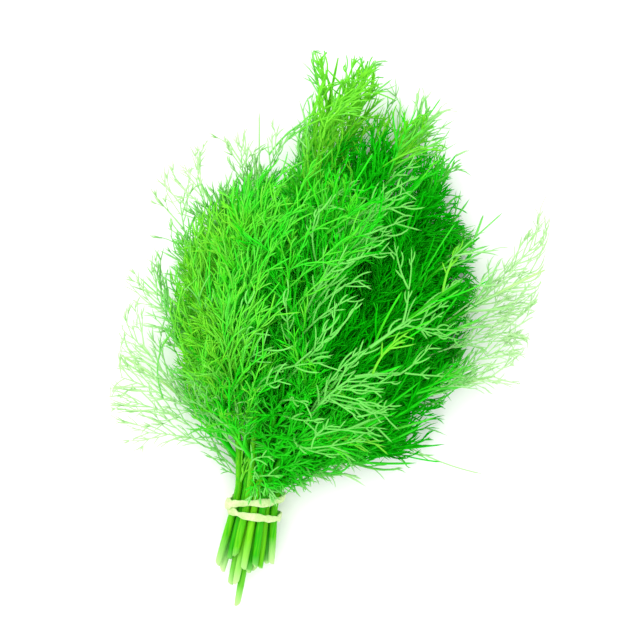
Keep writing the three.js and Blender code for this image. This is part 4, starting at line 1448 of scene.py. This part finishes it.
# painted light: pale threads go light, and a painted highlight lights the ends of a few others
painted_light = 3.0 * pale + (0.05 + 0.6 * lot * lot * lot) * (0.3 + 0.7 * along) * (1 - deep)
lit_green = leaf.mix(painted_light, young_and_lit_green, PAINTED_LIGHT_GREEN)
# painted light: the palest threads are washed out further, to a whitish green
leaf_green = leaf.mix(1.3 * pale - 0.25, lit_green, PALE_GREEN)
leaf.set(Base_Color=leaf_green, Roughness=0.42 + 0.2 * leaf.noise(GRAIN))
leaf.shader.inputs["Specular IOR Level"].default_value = LEAF_SHINE
print("leaf green:", len(leaf.tree.nodes), "nodes")

# %% [markdown]
# ## Stem green
# Stems are streaked along their length, from deep green to yellow, and some are bleached at the cut. A
# painted strip could show that, but noise that is stretched along the bunch gives every stem streaks of its
# own. The same streaks raise the fine ribs of the stem a little.

# %% Stem green
STEM_GREEN = (0.02, 0.42, 0.001, 1)
STEM_YELLOW = (0.2, 0.66, 0.01, 1)
STEM_PALE = (0.6, 0.86, 0.36, 1)
STREAKS, STREAK_STRETCH = 1500.0, (1, 0.04, 1)
STREAK_HEIGHT = 0.15 * MM
STEM_SHINE = 0.1

stem = Finish("dill_stem")
along, lot, tone, tip, pale, deep = (stem.value_of(name) for name in VALUES)
streaks = stem.noise(STREAKS, 2.0, STREAK_STRETCH)
stem_green = stem.mix((0.8 * tone + 1.4 * streaks - 0.75) * (1 - tip), STEM_GREEN, STEM_YELLOW)
stem.set(Base_Color=stem.mix(pale, stem_green, STEM_PALE), Roughness=0.36 + 0.2 * streaks)
stem.set(Normal=stem.bump(streaks, STREAK_HEIGHT))
stem.shader.inputs["Specular IOR Level"].default_value = STEM_SHINE
print("stem green:", len(stem.tree.nodes), "nodes")

# %% [markdown]
# ## Cream elastic
# The tie is a soft cream elastic with darker, greener blotches. Fine noise gives its
# grain, and coarse noise its blotches. Their sum feeds the colour, the roughness and the bumps alike, so a
# darker spot is also a lower one.

# %% Cream elastic
BAND_CREAM = (0.74, 0.86, 0.46, 1)
BAND_SHADE = (0.4, 0.62, 0.18, 1)
BAND_GRAIN, BAND_BLOTCHES = 1400.0, 260.0
BAND_BUMPS = 0.1 * MM

elastic = Finish("tie_elastic")
grain = 1.2 * elastic.noise(BAND_GRAIN, 3.0) + 1.6 * elastic.noise(BAND_BLOTCHES) - 0.9
elastic.set(Base_Color=elastic.mix(grain, BAND_SHADE, BAND_CREAM), Roughness=0.5 + 0.2 * grain)
elastic.set(Normal=elastic.bump(grain, BAND_BUMPS))
print("elastic:", len(elastic.tree.nodes), "nodes")

# %% [markdown]
# ## The leaves
# All threads of a shoot become one piece, which stands for that shoot's solid. A piece for every frond would
# be hundreds of them, and one for the whole bunch couldn't be taken apart. Ribs and strands are seen from
# near, so they have the most sides and rings. Forks are the shortest, and have the fewest.

# %% Leaves of each shoot
OUTER = 0.7  # a rib is as pale as the place is that it passes at this share of it
OUTER_PALE = 0.8

side_ribs = RIBS.only(np.arange(len(RIBS)) >= len(AXES))
all_ribs = together(side_ribs, SPRIGS, NECK_TUFTS, TOPS, FANS, UNDER, STRAYS)
outer = all_ribs.at(np.full(len(all_ribs), OUTER))
# painted light: ribs that pass beyond the core are washed out pale
past_core = np.clip(beyond(CORE, outer[:, 0], outer[:, 1]) / WISP_WIDTH, 0, 1)
all_ribs.pale = np.maximum(all_ribs.pale, OUTER_PALE * past_core)
GENERATIONS = ((all_ribs, 5, 10), (branches, 4, 5), (threads, 3, 4), (forks, 3, 2))  # threads, sides, rings

total = 0
for number in range(len(AXES)):
    name = f"dill_leaves_{number + 1:02d}"
    blocks = [tube_block(rows.only(rows.shoot == number), sides, rings) for rows, sides, rings in GENERATIONS]
    total += piece(name, blocks, leaf, node_name(number))
print("leaves:", total, "triangles")

# %% [markdown]
# ## The stems
# A dill stem is round, smooth and finely ribbed, and it thins towards the tip. At the knife's cut it is drawn
# in a little, slants, and shows its pale pith. A bevelled curve would do for the round part, but its end
# would be flat, so the rings are placed one by one: each has a radius, and the first three are also pushed
# inwards and tilted.

# %% Stems
STEM_SIDES, STEM_RINGS, STEM_TIP = 12, 33, 0.3
TAIL_SHARES = np.array([0, 0, 0.004, 0.07, 0.2, 0.5])  # rings from the cut end to the tie
TAIL_TAPER = np.array([0.45, 0.74, 0.78, 0.86, 0.94, 1.0])
CUT_DEPTH = np.array([0.5, 0.1, 0.0])  # the pith at the cut end lies a little deeper than its rim
CUT_SLANT, CUT_SLANT_SPREAD = 0.3, 0.5
BLEACHED, BLEACHED_FADE, BLEACHED_MOST = 14, 14, 0.9  # the cut ends of some stems are pale this far
# painted light: past the core, away from the tie, the stems are washed out pale as the wisps are
FAR_OUT_PALE, FAR_OUT_FROM = 0.8, 30  # beyond the core they pale again, but not near the tie
BARE_TO, BARE_TO_LEFT = 5, 30  # stems are bare and streaked to this place, and those at the left to this
GREEN_OVER, GREEN_TO, GREEN_LEAST = 20, 170, 0.2  # then green over so much, up to the yellow tips
STEM_CAP, STEM_CAP_OUT = 0.03, 0.05  # how wide both caps are in the map, and how far they lie outside


def stem_block(axis, number):
    """A round tube from the cut end by way of the band to the tip of the shoot."""
    shares = np.linspace(0, 1, STEM_RINGS)
    tail = axis.cut + (axis.slot - axis.cut) * TAIL_SHARES[:, None]
    points = np.array([*tail, axis.slot, *[axis.at(t) for t in shares]])
    radii = np.array([*(CUT_RADIUS * TAIL_TAPER), STEM_RADIUS, *axis.radius(shares)])
    radii[-1] = STEM_TIP
    rings, y = len(points), points[:, 1]
    heading = unit(np.gradient(points, axis=0))
    side = unit(np.cross(heading, UP))
    up = np.cross(side, heading)
    angle = 2 * pi * np.arange(STEM_SIDES) / STEM_SIDES
    around = side[:, None] * np.cos(angle)[None, :, None] + up[:, None] * np.sin(angle)[None, :, None]

    slant = CUT_SLANT + CUT_SLANT_SPREAD * chance(number, 3, 61)
    depth = np.zeros(rings)
    depth[: len(CUT_DEPTH)] = CUT_DEPTH
    sloping = np.where(np.arange(rings) < len(CUT_DEPTH), slant, 0)[:, None]
    inward = depth[:, None] + sloping * radii[:, None] * (1 + np.cos(angle + 6 * chance(number, 4, 61)))
    corners = points[:, None] + around * radii[:, None, None] + heading[:, None] * inward[..., None]

    pale = np.clip((BLEACHED * chance(number, 5, 61) - y - axis.tail) / BLEACHED_FADE, 0, BLEACHED_MOST)
    pale[0] = 1
    # painted light: stems are washed out pale past the core
    outside = beyond(CORE, points[:, 0], y) * (y > FAR_OUT_FROM)
    pale = np.maximum(pale, np.clip(outside / WISP_WIDTH, 0, FAR_OUT_PALE))
    bare = BARE_TO_LEFT if axis.slot[0] < LEFT_BARE else BARE_TO
    green = np.clip((y - bare) / GREEN_OVER, 0, 1) * np.clip((GREEN_TO - y) / GREEN_OVER, GREEN_LEAST, 1)

    quads, u, v = (grid[:, [0, 3, 2, 1]] for grid in ring_faces(rings, rings - 1, STEM_SIDES))
    k = np.arange(STEM_SIDES)
    cap_u, cap_v = STEM_CAP * np.cos(angle), CAP_MIDDLE + CAP_HIGH * np.sin(angle)
    return block(
        above_table(corners),
        loops=np.concatenate([quads.ravel(), k, (rings - 1) * STEM_SIDES + k[::-1]]),
        sizes=np.concatenate([np.full(len(quads), 4), [STEM_SIDES, STEM_SIDES]]),
        u=np.concatenate([u.ravel(), cap_u - STEM_CAP_OUT, cap_u + (1 + STEM_CAP_OUT)]),
        v=np.concatenate([v.ravel(), cap_v, cap_v]),
        along=np.repeat(np.linspace(0, 1, rings), STEM_SIDES),
        lot=chance(number, 1, 61),
        tone=chance(number, 2, 61),
        tip=np.repeat(green, STEM_SIDES),
        pale=np.repeat(pale, STEM_SIDES),
    )


total = 0
for number, axis in enumerate(AXES):
    name = f"dill_stem_{number + 1:02d}"
    total += piece(name, [stem_block(axis, number)], stem, node_name(number))
print("stems:", total, "triangles")

# %% [markdown]
# ## The tie
# One soft loop of elastic goes twice round the stems, and the second turn climbs a little over the first. A
# torus would be too even for it. It is drawn along the same line as its solid, with a rounder section that
# swells and thins as it does where it is strained over the stems and crumpled between them.

# %% The line of the elastic
BAND_WIDE, BAND_HIGH, BAND_MIDDLE = 11.5, 8, 9.55  # half its width and height, and its middle's height
BAND_CORNERS = 2 / 3  # 1 would make it an ellipse, and less squares it
BAND_SLOPE, BAND_SKEW = 1.4, 0.13  # its top leans to the cut ends, and its right side to the tips
BAND_CLIMB = 1.35  # the second turn ends so far outside the first
BAND_TURNS = 2


def squared(wave, corners):
    """A wave with fuller crests. A circle of such waves has flatter sides and tighter corners."""
    return np.sign(wave) * np.abs(wave) ** corners


def band_line(a):
    """Points of the band's middle line at angles a, over two full turns, and the way out of the bundle."""
    phase = a / BAND_TURNS - pi / 2
    x, z = BAND_WIDE * squared(np.cos(a), BAND_CORNERS), BAND_HIGH * squared(np.sin(a), BAND_CORNERS)
    out = unit(np.stack([x / BAND_WIDE**2, 0 * x, z / BAND_HIGH**2], 1))
    y = BAND_SPLIT * np.sin(phase) - BAND_SLOPE * np.maximum(0, np.sin(a)) + BAND_SKEW * x
    lifted = BAND_CLIMB * (1 - np.cos(phase)) / 2
    return np.stack([x, y, z + BAND_MIDDLE], 1) + out * lifted[:, None], out


quarters, _ = band_line(pi / 2 * np.arange(8))
print("the line is", np.round(np.ptp(quarters, axis=0), 1), "mm wide, deep and high")

# %% The elastic round its line
BAND_RINGS, BAND_SIDES = 264, 20
BAND_STEP = 0.02  # radians before and after a ring, for the way the line runs there
HALF_WIDE, HALF_DEEP = 1.5, 0.5
SECTION_CORNERS = 0.7
LUMPS = ((5, 1, 0.18), (8.5, 0, 0.15), (17, 2, 0.1))  # how often in a turn, from where, and how strong
LEFT_FLARE = 0.5  # it is so much wider where it bends round the left side
LUMP_SHIFT = 5  # rings between its widest and its thickest place


def band_block():
    """One tube along the whole line, closed on itself."""
    a = 2 * pi * BAND_TURNS * np.arange(BAND_RINGS) / BAND_RINGS
    points, out = band_line(a)
    onward = unit(band_line(a + BAND_STEP)[0] - band_line(a - BAND_STEP)[0])
    sideways = unit(np.cross(out, onward))
    turn = 2 * pi * np.arange(BAND_SIDES) / BAND_SIDES
    lumps = sum((strong * np.sin(often * a + begin) for often, begin, strong in LUMPS), 1)
    lumps *= 1 + LEFT_FLARE * np.maximum(0, -np.cos(a)) ** 3
    thickness = 1 + 0.5 * np.roll(lumps - 1, LUMP_SHIFT)
    wide = (HALF_WIDE * lumps)[:, None] * squared(np.cos(turn), SECTION_CORNERS)
    deep = (HALF_DEEP * thickness)[:, None] * squared(np.sin(turn), SECTION_CORNERS)
    corners = points[:, None] + sideways[:, None] * wide[..., None] + out[:, None] * deep[..., None]
    quads, u, v = ring_faces(BAND_RINGS, BAND_RINGS, BAND_SIDES)
    along = np.repeat(np.arange(BAND_RINGS) / BAND_RINGS, BAND_SIDES)
    sizes = np.full(len(quads), 4)
    return block(above_table(corners), quads.ravel(), sizes, u.ravel(), v.ravel(), along=along)


total = piece("tie_elastic", [band_block()], elastic, "tie_band")
print("tie:", total, "triangles")

# %% [markdown]
# ## How large it has become
# Dressed, the bunch is set beside its solids: both boxes are kept side by side, and how far each side moved is
# printed. Dressed, the bunch may be hardly larger than its solids.

# %% Size
size = {
    "cad": [list(CAD_LOW), list(CAD_HIGH)],
    "visual": [list(corner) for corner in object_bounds()],
}
for end, cad, visual in zip(("low", "high"), size["cad"], size["visual"]):
    print(end, "side moved by", [round((v - c) / MM, 2) for c, v in zip(cad, visual)], "mm")
